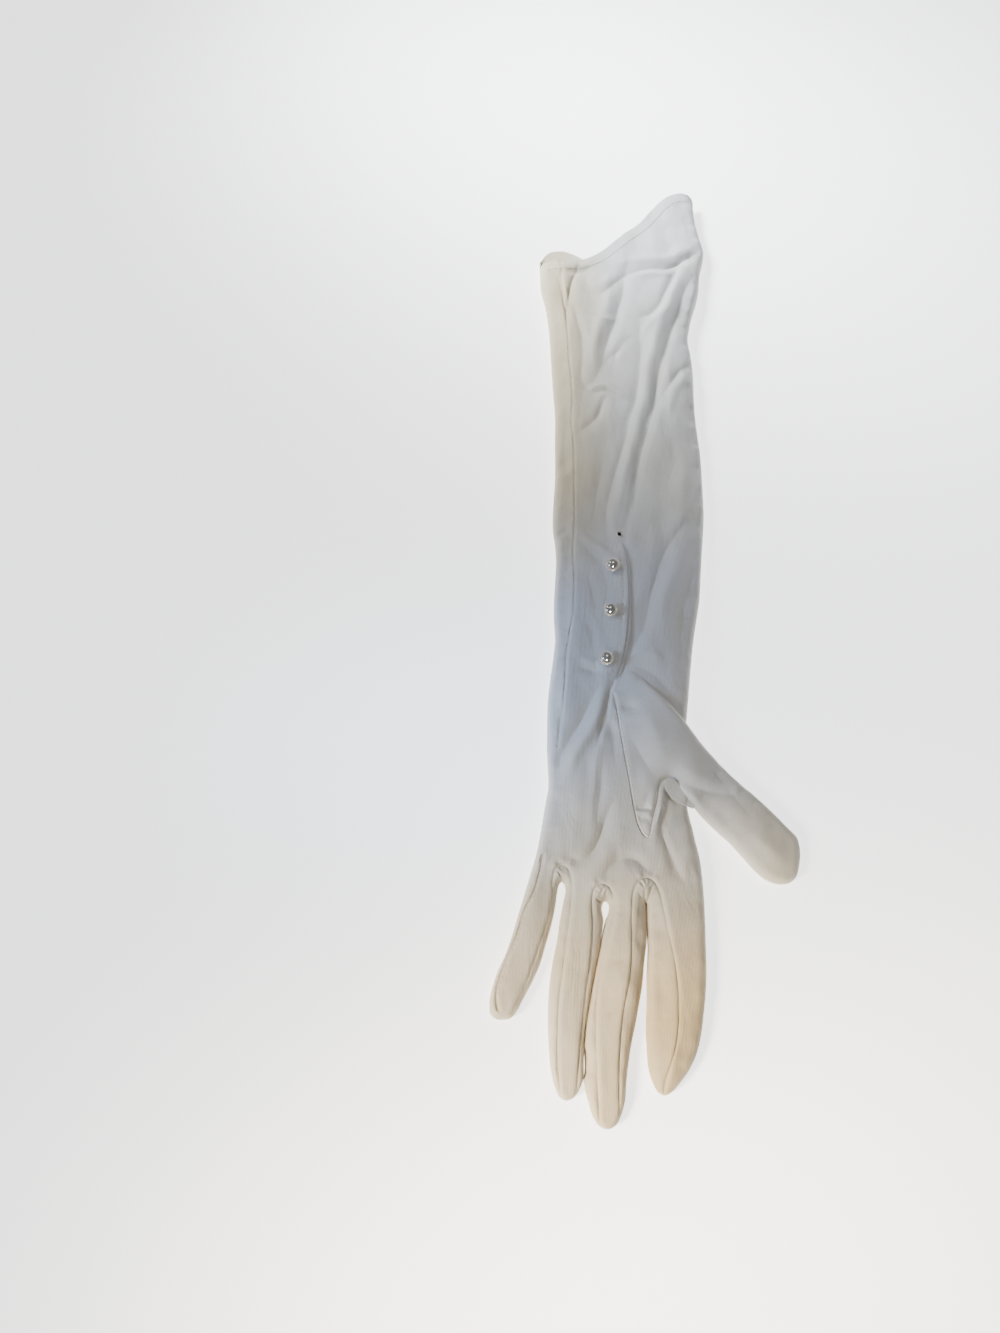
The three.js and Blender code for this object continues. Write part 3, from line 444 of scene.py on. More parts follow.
edge = drawn(LAID_EDGE, 1.15, closed=True)
outline = np.vstack([edge, edge[:1]])
seams = {name: drawn(points[:-1], 1.15) for name, points in FINGER_SEAMS.items()}
fourchette_plans = {name: np.vstack([seams[name], points[-1:]]) for name, points in FINGER_SEAMS.items()}
front, back = drawn(MOUTH_FRONT, 1.2), drawn(MOUTH_BACK, 1.2)
thumb_seam, placket_edge = drawn(THUMB_SEAM, 1.1), drawn(PLACKET_EDGE, 1)
arm_seam, little_seam = drawn(ARM_SEAM, 1.2), drawn(LITTLE_SEAM, 1.2)
touching = [drawn(points, 1.2) for points in CLOSED_GAPS]
turns = np.arange(25) * math.pi / 12
circle = np.column_stack([np.cos(turns), np.sin(turns)])
eyelet = EYELET + circle * (EYELET_RADIUS, 1.25 * EYELET_RADIUS)
sewn = [*seams.values(), front, back, thumb_seam, arm_seam, little_seam, placket_edge]


def laid_shape(plan, triangles):
    """How the laid cloth rounds at its edge and puffs up inside it."""
    depth = nearest_on(outline, plan)[0]
    steep = sum(bell(nearest_on(line, plan)[0], 4) for line in touching)
    reach = EDGE_RADIUS * (1 - 0.5 * np.clip(steep, 0, 1))
    puff = relaxed(1 - (1 - grown(depth, PUFF_REACH)) ** 3, triangles, depth < 1e-3, 30)
    return depth, quarter_round(depth / reach), puff


def surface(points, faces):
    """A skin in the form in which places on it are looked up."""
    return BVHTree.FromPolygons([Vector(p) for p in points], [tuple(int(i) for i in face) for face in faces])


# The palm side, from its edge up to its crown, with its folds, its seams and the slit of the placket.
creases = [drawn(points, 1.1) for rise, left, right, points in PALM_FOLDS if rise < 0]
plan, triangles = cut_cloth(edge, sewn, creases, 1.3, cuts=[eyelet],
                            fine_spots=[(x, y - 2.4) for x, y in CROTCHES])
depth_in, roundness, puff = laid_shape(plan, triangles)
on_edge = depth_in < 1e-3
crown = np.interp(plan[:, 1], *np.array(CROWNS).T)
loose = plan + np.column_stack([waves(plan, 16, 1.2, 1, 40.2), waves(plan, 16, 1.2, 1, 51.7)])
folds = fold_relief(PALM_FOLDS, loose)
for rise, reach, spot in SHORT_DENTS:
    folds += rise * bell(distance(plan, spot), reach)
calm = grown(depth_in, CALM_EDGE) ** 1.2
relief = calm * (
    folds + waves(plan, 22, 0.9, 1.6, 3.1) + waves(plan, 8, 0.5, 2.4, 7.7) + waves(plan, 4, 0.2, 2, 9.9))
gathered = fold_relief(GATHERS, plan) * grown(depth_in, 0.7)
for rise, reach, spot in GATHERED_DOMES:
    gathered += rise * bell(distance(plan, spot), reach) * grown(depth_in, 2.5)
relief += gathered
for line, depth, roll in (
    *((line, 0.4, 0.17) for line in seams.values()),
    (arm_seam, 0.42, 0.04), (little_seam, 0.8, 0.32), (thumb_seam, 0.3, 0.1),
):
    relief += seam_relief(line, plan, depth, roll) * grown(depth_in, 1.5)
away, side, _ = nearest_on(arm_seam, plan)
relief += LAP_STEP * np.where(side < 0, np.exp(-away / LAP_REACH), 0)  # the back laps over the palm side here
hem_away = nearest_on(front, plan)[0]
relief += (0.12 * grown(HEM_WIDTH + 0.4 - hem_away, 0.8) - 0.08 * bell(hem_away - HEM_WIDTH, 0.5)) * calm
away, side, along = nearest_on(placket_edge, plan)
slit_length = np.hypot(*np.diff(placket_edge, axis=0).T).sum()
slit_depth = SLIT_DEPTH * np.where(side > 0, bell(away, 5), bell(away, 0.5))
relief -= slit_depth * grown(along, 8) * np.clip((slit_length - along) / 6, 0.25, 1)
top = EDGE_RADIUS * (1 + roundness) + (crown - 2 * EDGE_RADIUS) * puff + relief
palm_tree = surface(np.column_stack([plan, top]), triangles)

# The back of the hand and arm, which it lies on: nearly flat, with a few shallow folds that lift off the surface.
back_plan, back_triangles = cut_cloth(edge, sewn[:7], [], 2.8, seam_rows=(0.6, 1.9))
back_depth, back_roundness, _ = laid_shape(back_plan, back_triangles)
lifted = fold_relief(BACK_FOLDS, back_plan) + 0.3 + waves(back_plan, 18, 0.6, 1.8, 12.4)
under = EDGE_RADIUS * (1 - back_roundness) + 0.1 + lifted.clip(0) * grown(back_depth, 5)
for line in seams.values():
    under -= seam_relief(line, back_plan, 0.6, 0.25) * grown(back_depth, 1.5)
under = under.clip(0.05)

# Both sides are joined along the laid edge, where they share their points.
palm_rim, back_rim = np.where(on_edge)[0], np.where(back_depth < 1e-3)[0]
own = np.arange(len(back_plan)) + len(plan)
for start in range(0, len(back_rim), 200):
    part = back_rim[start:start + 200]
    gaps = np.hypot(*(back_plan[part][:, None] - plan[palm_rim][None]).transpose(2, 0, 1))
    own[part] = np.where(gaps.min(axis=1) < 0.01, palm_rim[gaps.argmin(axis=1)], own[part])
skin = np.vstack([np.column_stack([plan, top]), np.column_stack([back_plan, under])])
for line in touching:
    away, side, _ = nearest_on(line, skin[:, :2])
    skin[:, 0] -= SHUT_BY * side * bell(away, 1)
middles, back_middles = plan[triangles].mean(axis=1), back_plan[back_triangles].mean(axis=1)
thumb_hole = np.vstack([thumb_seam[2:-6], [(4, -68), (-2, -54)]])
front_cover = np.vstack([front, [(60, 190), (60, -260), (-80, -260), (-80, 179.6)]])
back_cover = np.vstack([back, [(60, 190), (60, -260), (-80, -260), (-80, 160)]])
palm_kept = inside(front_cover, middles) & ~inside(thumb_hole, middles) & ~inside(eyelet, middles)
back_kept = inside(back_cover, back_middles)
back_faces = own[back_triangles][:, ::-1]


def lying_on(tree, places):
    """Height of a surface under each place, in mm."""
    heights = []
    for x, y in places:
        hit = tree.ray_cast(Vector((x, y, 60)), Vector((0, 0, -1)))[0]
        heights.append(hit.z if hit else 0.0)
    return np.array(heights)


def fill(tree, node, ordered=(), **named):
    """Fills a node's sockets, in their order or by name. Each takes a value or is linked to another socket."""
    given = [*zip(node.inputs, ordered), *((node.inputs[name.replace("_", " ")], named[name]) for name in named)]
    for socket, value in given:
        if isinstance(value, bpy.types.NodeSocket):
            tree.links.new(value, socket)
        else:
            socket.default_value = value


def fitted(tree, kind, settings=(), ordered=(), **named):
    """Adds a shader node, makes its settings and fills its sockets."""
    node = tree.nodes.new("ShaderNode" + kind)
    for name, value in settings:
        setattr(node, name, value)
    fill(tree, node, ordered, **named)
    return node


def multiplied(tree, share, colour, tint):
    """A colour multiplied by a tint, as far as the share says."""
    mix = fitted(tree, "Mix", [("data_type", "RGBA"), ("blend_type", "MULTIPLY")], Factor=share, A=colour, B=tint)
    return mix.outputs["Result"]


def ageing_effect():
    """Old glove finishes have yellowed and dulled in soft patches."""
    tree = bpy.data.node_groups.new("patchy_ageing", "ShaderNodeTree")
    for name, kind, value in (("Colour", "Color", (0.8, 0.8, 0.8, 1)), ("Tint", "Color", (0.9, 0.8, 0.6, 1)),
                              ("Size", "Float", 30), ("Amount", "Float", 0.5)):
        tree.interface.new_socket(name=name, in_out="INPUT", socket_type="NodeSocket" + kind).default_value = value
    for name, kind in (("Colour", "Color"), ("Patches", "Float")):
        tree.interface.new_socket(name=name, in_out="OUTPUT", socket_type="NodeSocket" + kind)
    given, found = tree.nodes.new("NodeGroupInput"), tree.nodes.new("NodeGroupOutput")
    place = tree.nodes.new("ShaderNodeTexCoord")
    patches = fitted(tree, "TexNoise", Vector=place.outputs["Object"], Scale=given.outputs["Size"], Detail=4.0)
    spread_out = fitted(tree, "MapRange", Value=patches.outputs["Fac"], From_Min=0.35, From_Max=0.68)
    share = fitted(tree, "Math", [("operation", "MULTIPLY")], [spread_out.outputs["Result"], given.outputs["Amount"]])
    tinted = multiplied(tree, share.outputs["Value"], given.outputs["Colour"], given.outputs["Tint"])
    fill(tree, found, Colour=tinted, Patches=spread_out.outputs["Result"])
    return tree


def aged(tree, colour, tint, size, amount):
    """Places the patchy ageing in a material."""
    group = tree.nodes.new("ShaderNodeGroup")
    group.node_tree = patchy_ageing
    fill(tree, group, Colour=colour, Tint=tint, Size=size, Amount=amount)
    return group


def finish(name, **sockets):
    """A new material whose shader has the given plain values."""
    material = bpy.data.materials.new(name)
    material.use_nodes = True
    shader = material.node_tree.nodes["Principled BSDF"]
    fill(material.node_tree, shader, **sockets)
    return material, material.node_tree, shader


def ivory_tricot():
    """Ivory nylon tricot: faint wales along the grain, fine wrinkles, a satin bloom, fingers yellowed by wear, and
    painted shade over palm, wrist and creases.
    """
    material, tree, shader = finish("ivory_tricot", Sheen_Weight=0.25, Sheen_Roughness=0.4, Specular_IOR_Level=0.3)
    place = tree.nodes.new("ShaderNodeTexCoord")
    split = fitted(tree, "SeparateXYZ", Vector=place.outputs["Object"])
    wobble = fitted(tree, "TexNoise", Vector=place.outputs["Object"], Scale=14.0, Detail=3.0)
    shifted = fitted(tree, "Math", [("operation", "MULTIPLY_ADD")],
                     [wobble.outputs["Fac"], 0.08, split.outputs["Y"]])
    # Painted shade and light along the glove: the colour is darker and bluer over the palm and wrist, as shade and
    # cool skylight, and bluish at the cuff's end, as cool light. Towards the fingertips it is yellower, as the cloth
    # yellowed by wear.
    span = fitted(tree, "MapRange", Value=shifted.outputs["Value"], From_Min=-0.19, From_Max=0.27)
    yellowing_and_painted_shade = fitted(tree, "ValToRGB", Fac=span.outputs["Result"])
    ramp = yellowing_and_painted_shade.color_ramp.elements
    ramp[0].color, ramp[1].color = (0.55, 0.465, 0.325, 1), (0.67, 0.7, 0.725, 1)
    for position, colour in (
        (0.13, (0.72, 0.618, 0.445, 1)), (0.2, (0.64, 0.585, 0.48, 1)), (0.31, (0.585, 0.565, 0.535, 1)),
        (0.5, (0.59, 0.585, 0.595, 1)), (0.68, (0.62, 0.615, 0.59, 1)),
    ):
        ramp.new(position).color = colour
    # Up the arm the colour is warmer and yellower towards the left side.
    seam_side = fitted(tree, "MapRange", Value=split.outputs["X"], From_Min=-0.004, From_Max=-0.028)
    up_the_arm = fitted(tree, "MapRange", Value=split.outputs["Y"], From_Min=-0.01, From_Max=0.05,
                        To_Max=seam_side.outputs["Result"])
    yellowed = multiplied(tree, up_the_arm.outputs["Result"], yellowing_and_painted_shade.outputs["Color"], (1, 0.87, 0.62, 1))
    thumb_side = fitted(tree, "MapRange", Value=split.outputs["X"], From_Min=-0.034, From_Max=0.004)
    down_the_fingers = fitted(tree, "MapRange", Value=split.outputs["Y"], From_Min=-0.12, From_Max=-0.185,
                              To_Max=thumb_side.outputs["Result"])
    handled = multiplied(tree, down_the_fingers.outputs["Result"], yellowed, (0.8, 0.7, 0.53, 1))
    patches = aged(tree, handled, (0.95, 0.9, 0.8, 1), 24.0, 0.7)
    # The cloth darkens by the mesh's marks: dirt along the seams and painted shade in the fold valleys.
    soil_and_crease_shade = fitted(tree, "Attribute", [("attribute_name", "soil_and_crease_shade")])
    soiled_and_crease_shaded = multiplied(tree, soil_and_crease_shade.outputs["Fac"], patches.outputs["Colour"], (0.7, 0.64, 0.56, 1))
    rough = fitted(tree, "MapRange", Value=patches.outputs["Patches"], To_Min=0.52, To_Max=0.68)
    grain = fitted(tree, "UVMap", [("uv_map", "grain")])
    wales = fitted(tree, "TexWave", [("bands_direction", "X")], Vector=grain.outputs["UV"], Scale=560.0,
                   Distortion=1.5, Detail=1.0)
    loops = fitted(tree, "TexNoise", Vector=grain.outputs["UV"], Scale=900.0, Detail=3.0)
    knit = fitted(tree, "Math", [("operation", "ADD")], [wales.outputs["Fac"], loops.outputs["Fac"]])
    fine = fitted(tree, "Bump", Strength=0.4, Distance=0.00012, Height=knit.outputs["Value"])
    drawn_out = fitted(tree, "Mapping", Vector=grain.outputs["UV"], Scale=(1, 0.4, 1), Rotation=(0, 0, 0.25))
    wrinkles = fitted(tree, "TexNoise", Vector=drawn_out.outputs["Vector"], Scale=110.0, Detail=4.0, Distortion=0.6)
    soft = fitted(tree, "Bump", Strength=0.6, Distance=0.0011, Height=wrinkles.outputs["Fac"],
                  Normal=fine.outputs["Normal"])
    fill(tree, shader, Base_Color=soiled_and_crease_shaded, Roughness=rough.outputs["Result"], Normal=soft.outputs["Normal"])
    return material


patchy_ageing = ageing_effect()
tricot = ivory_tricot()


def sew(name, points, faces, nodes, wall=0.6, grain=0.0, soil_and_crease_shade=None):
    """Makes a cloth piece from a skin in mm, with its wall, its grain and its finish, and lays it on the frame."""
    used = np.unique(faces)
    number = np.zeros(len(points), int)
    number[used] = np.arange(len(used))
    mesh = bpy.data.meshes.new(name)
    mesh.from_pydata((points[used] / 1000).tolist(), [], number[faces].tolist())
    mesh.update()
    corners = np.array([loop.vertex_index for loop in mesh.loops])
    turn = np.array([[math.cos(grain), -math.sin(grain)], [math.sin(grain), math.cos(grain)]])
    flat = points[used][corners][:, :2] / 1000 @ turn
    mesh.uv_layers.new(name="grain").data.foreach_set("uv", flat.astype(np.float32).ravel())
    # The marks darken the cloth: dirt along seams and, on the palm side, painted shade in creases.
    worn = np.zeros(len(points)) if soil_and_crease_shade is None else soil_and_crease_shade
    mesh.attributes.new("soil_and_crease_shade", "FLOAT", "POINT").data.foreach_set("value", worn[used].astype(np.float32))
    piece = bpy.data.objects.new(name, mesh)
    bpy.context.scene.collection.objects.link(piece)
    bpy.context.view_layer.objects.active = piece
    piece.select_set(True)
    shell = piece.modifiers.new("wall", "SOLIDIFY")
    shell.thickness = wall / 1000
    shell.offset = -1
    bpy.ops.object.modifier_apply(modifier="wall")
    bpy.ops.object.shade_smooth_by_angle(angle=math.radians(55))
    piece.select_set(False)
    mesh.materials.append(tricot)
    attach(piece, "root")
    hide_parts(*nodes)
    return piece


soil_and_crease_shade = np.zeros(len(skin))
for line in [*seams.values(), arm_seam, little_seam, thumb_seam]:
    soil_and_crease_shade[:len(plan)] += 0.13 * bell(nearest_on(line, plan)[0], 0.5)
for line in (arm_seam, little_seam):
    soil_and_crease_shade[:len(plan)] += 0.35 * bell(nearest_on(line, plan)[0], 0.4)
# Painted shade: the fold valleys, dents and gathered puckers are darkened.
soil_and_crease_shade[:len(plan)] += 0.1 * np.clip(-folds, 0, 3) * calm + 0.3 * np.clip(-gathered, 0, 1)
in_fourchette = {name: inside(shape, middles) for name, shape in fourchette_plans.items()}
back_fourchette = {name: inside(shape, back_middles) for name, shape in fourchette_plans.items()}
trank_palm = triangles[palm_kept & ~np.any(list(in_fourchette.values()), axis=0)]
trank_back = back_faces[back_kept & ~np.any(list(back_fourchette.values()), axis=0)]
sew("glove_trank", skin, np.vstack([trank_palm, trank_back]), ["trank"], soil_and_crease_shade=soil_and_crease_shade.clip(0, 1))

# Fourchettes
# Each fourchette is a narrow strip that makes the facing sides of two fingers. It is sewn to palm and back along
# both fingers and is gathered round the crotch between them.
for name, within in in_fourchette.items():
    faces = np.vstack([triangles[within & palm_kept], back_faces[back_fourchette[name]]])
    sew("glove_fourchette_" + name, skin, faces, ["fourchette_" + name], soil_and_crease_shade=soil_and_crease_shade.clip(0, 1))

# Thumb
# The thumb is a tube of its own, sewn round a long pointed hole in the palm. It lies across the hand's edge: its
# upper side is a fold over the arm, and its tip rests beside the hand.
THUMB_EDGE = THUMB_SEAM + [
    (16.2, -96), (19.3, -100.1), (23.2, -104.8), (30.9, -112.3), (34.8, -116), (40.4, -122.6), (45.2, -128.3),
    (49.8, -131.9), (54.6, -133.1), (58.1, -132.6), (61.2, -130.2), (62.9, -125.7), (63.9, -117.6), (63.2, -113.9),
    (59.6, -109.8), (52.1, -101.4), (44.4, -94), (40.5, -90.4), (32.8, -82), (25, -72.6), (19.5, -65.4),
    (14.4, -59.4), (9, -53.8), (4.4, -48.8), (0.8, -45.1), (-2.4, -42.6), (-5.4, -43), (-8.8, -47.4),
]
THUMB_LEVELS = [  # x, height of its top, height of its underside
    (-12, 10.2, 6.8), (-8, 10.5, 6.8), (-4, 11, 6.8), (0, 11.6, 6.8), (4, 12.1, 6.8), (8, 12.5, 6.8),
    (12, 12.7, 6.4), (16, 12.4, 5.4), (20, 11.6, 3.8), (24, 10.5, 1.8), (28, 9.7, 0.8), (32.5, 9.1, 0.05),
    (50, 8.8, 0.05), (55, 8.2, 0.05), (60, 7.2, 0.05), (64.5, 5.2, 0.05),
]
THUMB_FOLDS = [
    (-0.9, 2.2, 3, [(15, -91.4), (19, -93.4), (24, -95), (31, -96.4), (42, -97)]),
    (0.4, 3, 3, [(16, -86), (24, -90), (36, -92)]),
    (-1.8, 1.1, 1.3, [(-4.4, -103.2), (-2, -102.6), (0, -102.6), (2.6, -104)]),
    (-1.5, 1, 1.2, [(-3, -107.9), (-1, -107.2), (0.6, -107.4), (2.4, -108.4)]),
    (0.9, 1, 1, [(-3.6, -105.4), (-1, -104.9), (1.6, -105.8)]),
    (-1.2, 3, 3, [(-8.4, -60), (-5, -59), (-1.6, -60.4)]),
    (-0.9, 3.4, 3.4, [(-4, -74), (0, -82), (4, -90)]),
    (0.9, 4, 4, [(0, -60), (6, -72), (10, -84)]),
    (0.8, 1.2, 1.4, [(3.2, -97), (2.4, -102), (0.8, -107), (-0.4, -111)]),
    (-0.7, 1.4, 1.4, [(1.2, -96), (0, -101), (-1.4, -106)]),
    (0.6, 3, 3, [(36, -108), (46, -116), (56, -124)]),
    (-0.5, 2.4, 2.4, [(30, -88), (38, -99), (44, -107)]),
]
THUMB_ROOT = (0.8, -45.1)
THUMB_SEAT = 8.5
thumb_edge = drawn(THUMB_EDGE, 1.1, closed=True)
thumb_creases = [drawn(points, 1.1) for rise, left, right, points in THUMB_FOLDS if rise < 0]
thumb_plan, thumb_triangles = cut_cloth(thumb_edge, [], thumb_creases, 1.3)
free_start, free_end = (int(distance(thumb_edge, spot).argmin()) for spot in (THUMB_SEAM[-1], THUMB_ROOT))
from_free = nearest_on(thumb_edge[free_start:free_end + 1], thumb_plan)[0]
from_seam = nearest_on(np.vstack([thumb_edge[free_end:], thumb_edge[:free_start + 1]]), thumb_plan)[0]
from_any = np.minimum(from_free, from_seam)
held = from_any < 1e-3
levels = np.array(THUMB_LEVELS)
crest, floor_level = (np.interp(thumb_plan[:, 0], levels[:, 0], levels[:, k]) for k in (1, 2))
bend = quarter_round(from_free / EDGE_RADIUS)
swell = relaxed(1 - (1 - grown(from_free, 10)) ** 3, thumb_triangles, held, 20)
thumb_relief = fold_relief(THUMB_FOLDS, thumb_plan) * grown(from_any, 1.6)
thumb_relief += (waves(thumb_plan, 16, 0.8, 1, 21.3) + waves(thumb_plan, 5, 0.2, 1, 25.1)) * grown(from_any, 5)
lofty = floor_level + EDGE_RADIUS * (1 + bend) + (crest - floor_level - 2 * EDGE_RADIUS) * swell
palm_level = lying_on(palm_tree, thumb_plan).clip(THUMB_SEAT)
sewn_down = np.exp(-(from_seam / 5) ** 1.2)
thumb_top = lofty + (palm_level - lofty) * sewn_down + thumb_relief
thumb_top += 0.15 * bell(from_seam - 1.6, 0.9) * grown(from_free, 6) * (1 + 0.3 * np.sin(0.9 * thumb_plan[:, 1]))
thumb_under = np.minimum(floor_level + EDGE_RADIUS * (1 - bend) + 0.05, thumb_top - 0.7)
thumb_under = np.where(held, thumb_top, thumb_under)
size = len(thumb_plan)
thumb_skin = np.vstack([np.column_stack([thumb_plan, thumb_top]), np.column_stack([thumb_plan, thumb_under])])
below = np.where(held, np.arange(size), np.arange(size) + size)
over_hole = inside(thumb_hole, thumb_plan[thumb_triangles].mean(axis=1))
thumb_faces = np.vstack([thumb_triangles, below[thumb_triangles][~over_hole][:, ::-1]])
thumb_soil = np.concatenate([0.12 * bell(from_seam, 0.6), np.zeros(size)])
sew("glove_thumb", thumb_skin, thumb_faces, ["thumb"], grain=-0.8, soil_and_crease_shade=thumb_soil)
thumb_tree = surface(thumb_skin[:size], thumb_triangles)

# Thumb gusset
# A small quirk of cloth is let into the crotch of the thumb. One edge is tucked under the thumb, and the other
# stands off the hand as a soft lip.
QUIRK = [(9.6, -90.6), (11.8, -90.6), (14.4, -92.6), (17.4, -96.6), (20.4, -100.8), (20.4, -102.6), (17.4, -101.8),
         (13.8, -100), (11, -97.8), (9, -95.2), (8.4, -92.6)]
LIP_HEIGHT, LOWEST_SEAT = 1.1, 7.4
quirk_edge = drawn(QUIRK, 0.6, closed=True)
quirk_plan, quirk_triangles = cut_cloth(quirk_edge, [], [], 0.8)
lip = drawn(QUIRK[5:] + QUIRK[:1], 0.6)
off_lip = nearest_on(lip, quirk_plan)[0]
quirk_base = lying_on(palm_tree, quirk_plan)
quirk_base = np.where(quirk_base < LOWEST_SEAT, LOWEST_SEAT + 0.2 * (quirk_base - LOWEST_SEAT), quirk_base)
quirk_top = quirk_base + LIP_HEIGHT + LIP_HEIGHT * quarter_round(off_lip / LIP_HEIGHT)
quirk_top -= 0.25 * np.clip(off_lip - 2, 0, 4)
sew("glove_quirk", np.column_stack([quirk_plan, quirk_top]), quirk_triangles, ["thumb_quirk"], wall=0.5, grain=0.6)

# Placket band
# The free edge of the wrist slit is turned in and stitched down, and carries the buttonholes. It lies over the
# other edge, so it stands a little proud and shades the cloth beside it.
BUTTON_SPOTS = [(-9.5, 6.8), (-11.7, -15.1), (-13.8, -37.6)]
SEAT_ABOVE_CUP_FOOT = 0.75
BAND_ROWS = np.array([0, 0.12, 0.35, 0.7, 1.1, 1.7, 2.3, 2.6, 2.9, 3.2, 3.6, 4.2, *np.arange(5, 12.2, 0.8)])
BAND_START, BAND_STITCHES, BAND_HEIGHT, ENDS_SUNK = 3.2, 2.9, 0.9, 0.35
stations = nearest_on(placket_edge, placket_edge)[2]
band_line = placket_edge[stations > BAND_START]
share = (stations[stations > BAND_START] - BAND_START) / (stations[-1] - BAND_START)
ends = grown(share, 0.1) ** 0.7 * grown(1 - share, 0.16) ** 0.6
band_points = []
for across in BAND_ROWS:
    row = beside(band_line, -across)
    row_level = lying_on(palm_tree, beside(band_line, -1.2) if across == 0 else row)
    laid = BAND_HEIGHT * (1 - grown(across - 2, 8.4) ** 1.3) * quarter_round((across + 0.06) / 0.7)
    stitched_down = 0.2 * bell(across - BAND_STITCHES, 0.4)
    height = (laid - stitched_down + ENDS_SUNK) * ends - ENDS_SUNK
    band_points.append(np.column_stack([row, row_level + height]))
band_skin = np.array(band_points).reshape(-1, 3)
for k, spot in enumerate(BUTTON_SPOTS):
    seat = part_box(f"button_{k + 1}_cup")[0][2] * 1000 + SEAT_ABOVE_CUP_FOOT
    reach, bearing = distance(band_skin[:, :2], spot), np.arctan2(*(band_skin[:, :2] - spot).T)
    band_skin[:, 2] += (seat - band_skin[:, 2]) * np.exp(-(reach / 3.4) ** 4)
    band_skin[:, 2] += 0.3 * bell(reach - 4.4, 0.8) * (1 + 0.5 * np.sin(3 * bearing))
rows_count, columns_count = len(BAND_ROWS), len(band_line)
corner = np.arange(rows_count * columns_count).reshape(rows_count, columns_count)
quads = np.stack([corner[:-1, :-1], corner[:-1, 1:], corner[1:, 1:], corner[1:, :-1]], axis=-1).reshape(-1, 4)
band_faces = np.vstack([quads[:, [0, 2, 1]], quads[:, [0, 3, 2]]])
band_soil = 0.15 * bell(np.repeat(BAND_ROWS, columns_count) - BAND_STITCHES, 0.5)
sew("glove_placket_band", band_skin, band_faces, ["placket_band"], wall=0.8, soil_and_crease_shade=band_soil)
band_tree = surface(band_skin, band_faces)

# Buttons
# Three shank buttons close the wrist. Each is a pearl dome pressed into a small turned cup of gilt metal, which has
# a rolled rim and a shank below, and the cloth dimples round it.
CUP_FOOT, CUP_RIM, CUP_DEPTH, SHANK = 0.0021, 0.00305, 0.0015, 0.0011
RIM_WIDTH, RIM_ROUNDING, RECESS_DEPTH, FOOT_STEPS = 0.00042, 0.00016, 0.0007, (0.0006, 0.0008)
PEARL_RADIUS, PEARL_FLATTENING, PEARL_SUNK = 0.0026, 0.7, 0.0006
BUTTON_TILTS = [(0.10, -0.06), (0.05, 0.08), (0.12, -0.1)]


def select_faces(mesh, wanted):
    """Selects the faces that the test picks out, in edit mode."""
    bpy.ops.mesh.select_all(action="DESELECT")
    shape = bmesh.from_edit_mesh(mesh)
    for face in shape.faces:
        face.select_set(wanted(face))
    bmesh.update_edit_mesh(mesh)


def gilt_metal():
    """Gilt brass, worn to silver and browned in patches."""
    material, tree, shader = finish("worn_gilt_metal", Metallic=1.0)
    worn = aged(tree, (0.78, 0.73, 0.64, 1), (0.62, 0.54, 0.42, 1), 1400.0, 0.8)
    rough = fitted(tree, "MapRange", Value=worn.outputs["Patches"], To_Min=0.28, To_Max=0.5)
    place = tree.nodes.new("ShaderNodeTexCoord")
    scratches = fitted(tree, "TexNoise", Vector=place.outputs["Object"], Scale=5200.0, Detail=2.0)
    scuffed = fitted(tree, "Bump", Strength=0.25, Distance=0.00004, Height=scratches.outputs["Fac"])
    fill(tree, shader, Base_Color=worn.outputs["Colour"], Roughness=rough.outputs["Result"],
         Normal=scuffed.outputs["Normal"])
    return material


def pearl_lustre():
    """Lacquered pearl: a silvery cream body under a clear gloss, rosy and green towards its edge."""
    material, tree, shader = finish("pearl_lustre", Roughness=0.1, Metallic=0.6, Coat_Weight=1.0, Coat_Roughness=0.03)
    place = tree.nodes.new("ShaderNodeTexCoord")
    body = aged(tree, (0.5, 0.45, 0.39, 1), (0.56, 0.64, 0.58, 1), 900.0, 0.7)
    rim = fitted(tree, "LayerWeight", Blend=0.35)
    lustre = fitted(tree, "Mix", [("data_type", "RGBA")], Factor=rim.outputs["Facing"], A=body.outputs["Colour"],
                    B=(0.50, 0.42, 0.36, 1))
    skin_noise = fitted(tree, "TexNoise", Vector=place.outputs["Object"], Scale=2600.0, Detail=1.0)
    uneven = fitted(tree, "Bump", Strength=0.15, Distance=0.00003, Height=skin_noise.outputs["Fac"])
    fill(tree, shader, Base_Color=lustre.outputs["Result"], Normal=uneven.outputs["Normal"])
    return material


bpy.ops.object.select_all(action="DESELECT")
bpy.ops.mesh.primitive_cone_add(vertices=48, radius1=CUP_FOOT, radius2=CUP_RIM, depth=CUP_DEPTH,
                                location=(0, 0, SHANK + CUP_DEPTH / 2))
cup = bpy.context.active_object
bpy.ops.object.transform_apply(location=True, rotation=False, scale=False)
bpy.ops.object.mode_set(mode="EDIT")
bpy.ops.mesh.select_mode(type="FACE")
select_faces(cup.data, lambda face: face.normal.z > 0.9)
bpy.ops.mesh.inset(thickness=RIM_WIDTH, depth=0)
bpy.ops.mesh.extrude_region_move(TRANSFORM_OT_translate={"value": (0, 0, -RECESS_DEPTH)})
bpy.ops.transform.resize(value=(0.8, 0.8, 1))
select_faces(cup.data, lambda face: face.normal.z < -0.9)
for step in FOOT_STEPS:
    bpy.ops.mesh.inset(thickness=step, depth=0)
bpy.ops.mesh.extrude_region_move(TRANSFORM_OT_translate={"value": (0, 0, -SHANK)})
bpy.ops.object.mode_set(mode="OBJECT")
turned = cup.modifiers.new("rolled rim", "BEVEL")
turned.width, turned.segments, turned.limit_method, turned.angle_limit = RIM_ROUNDING, 3, "ANGLE", math.radians(35)
bpy.ops.object.modifier_apply(modifier="rolled rim")
bpy.ops.object.shade_smooth_by_angle(angle=math.radians(40))
cup.data.materials.append(gilt_metal())

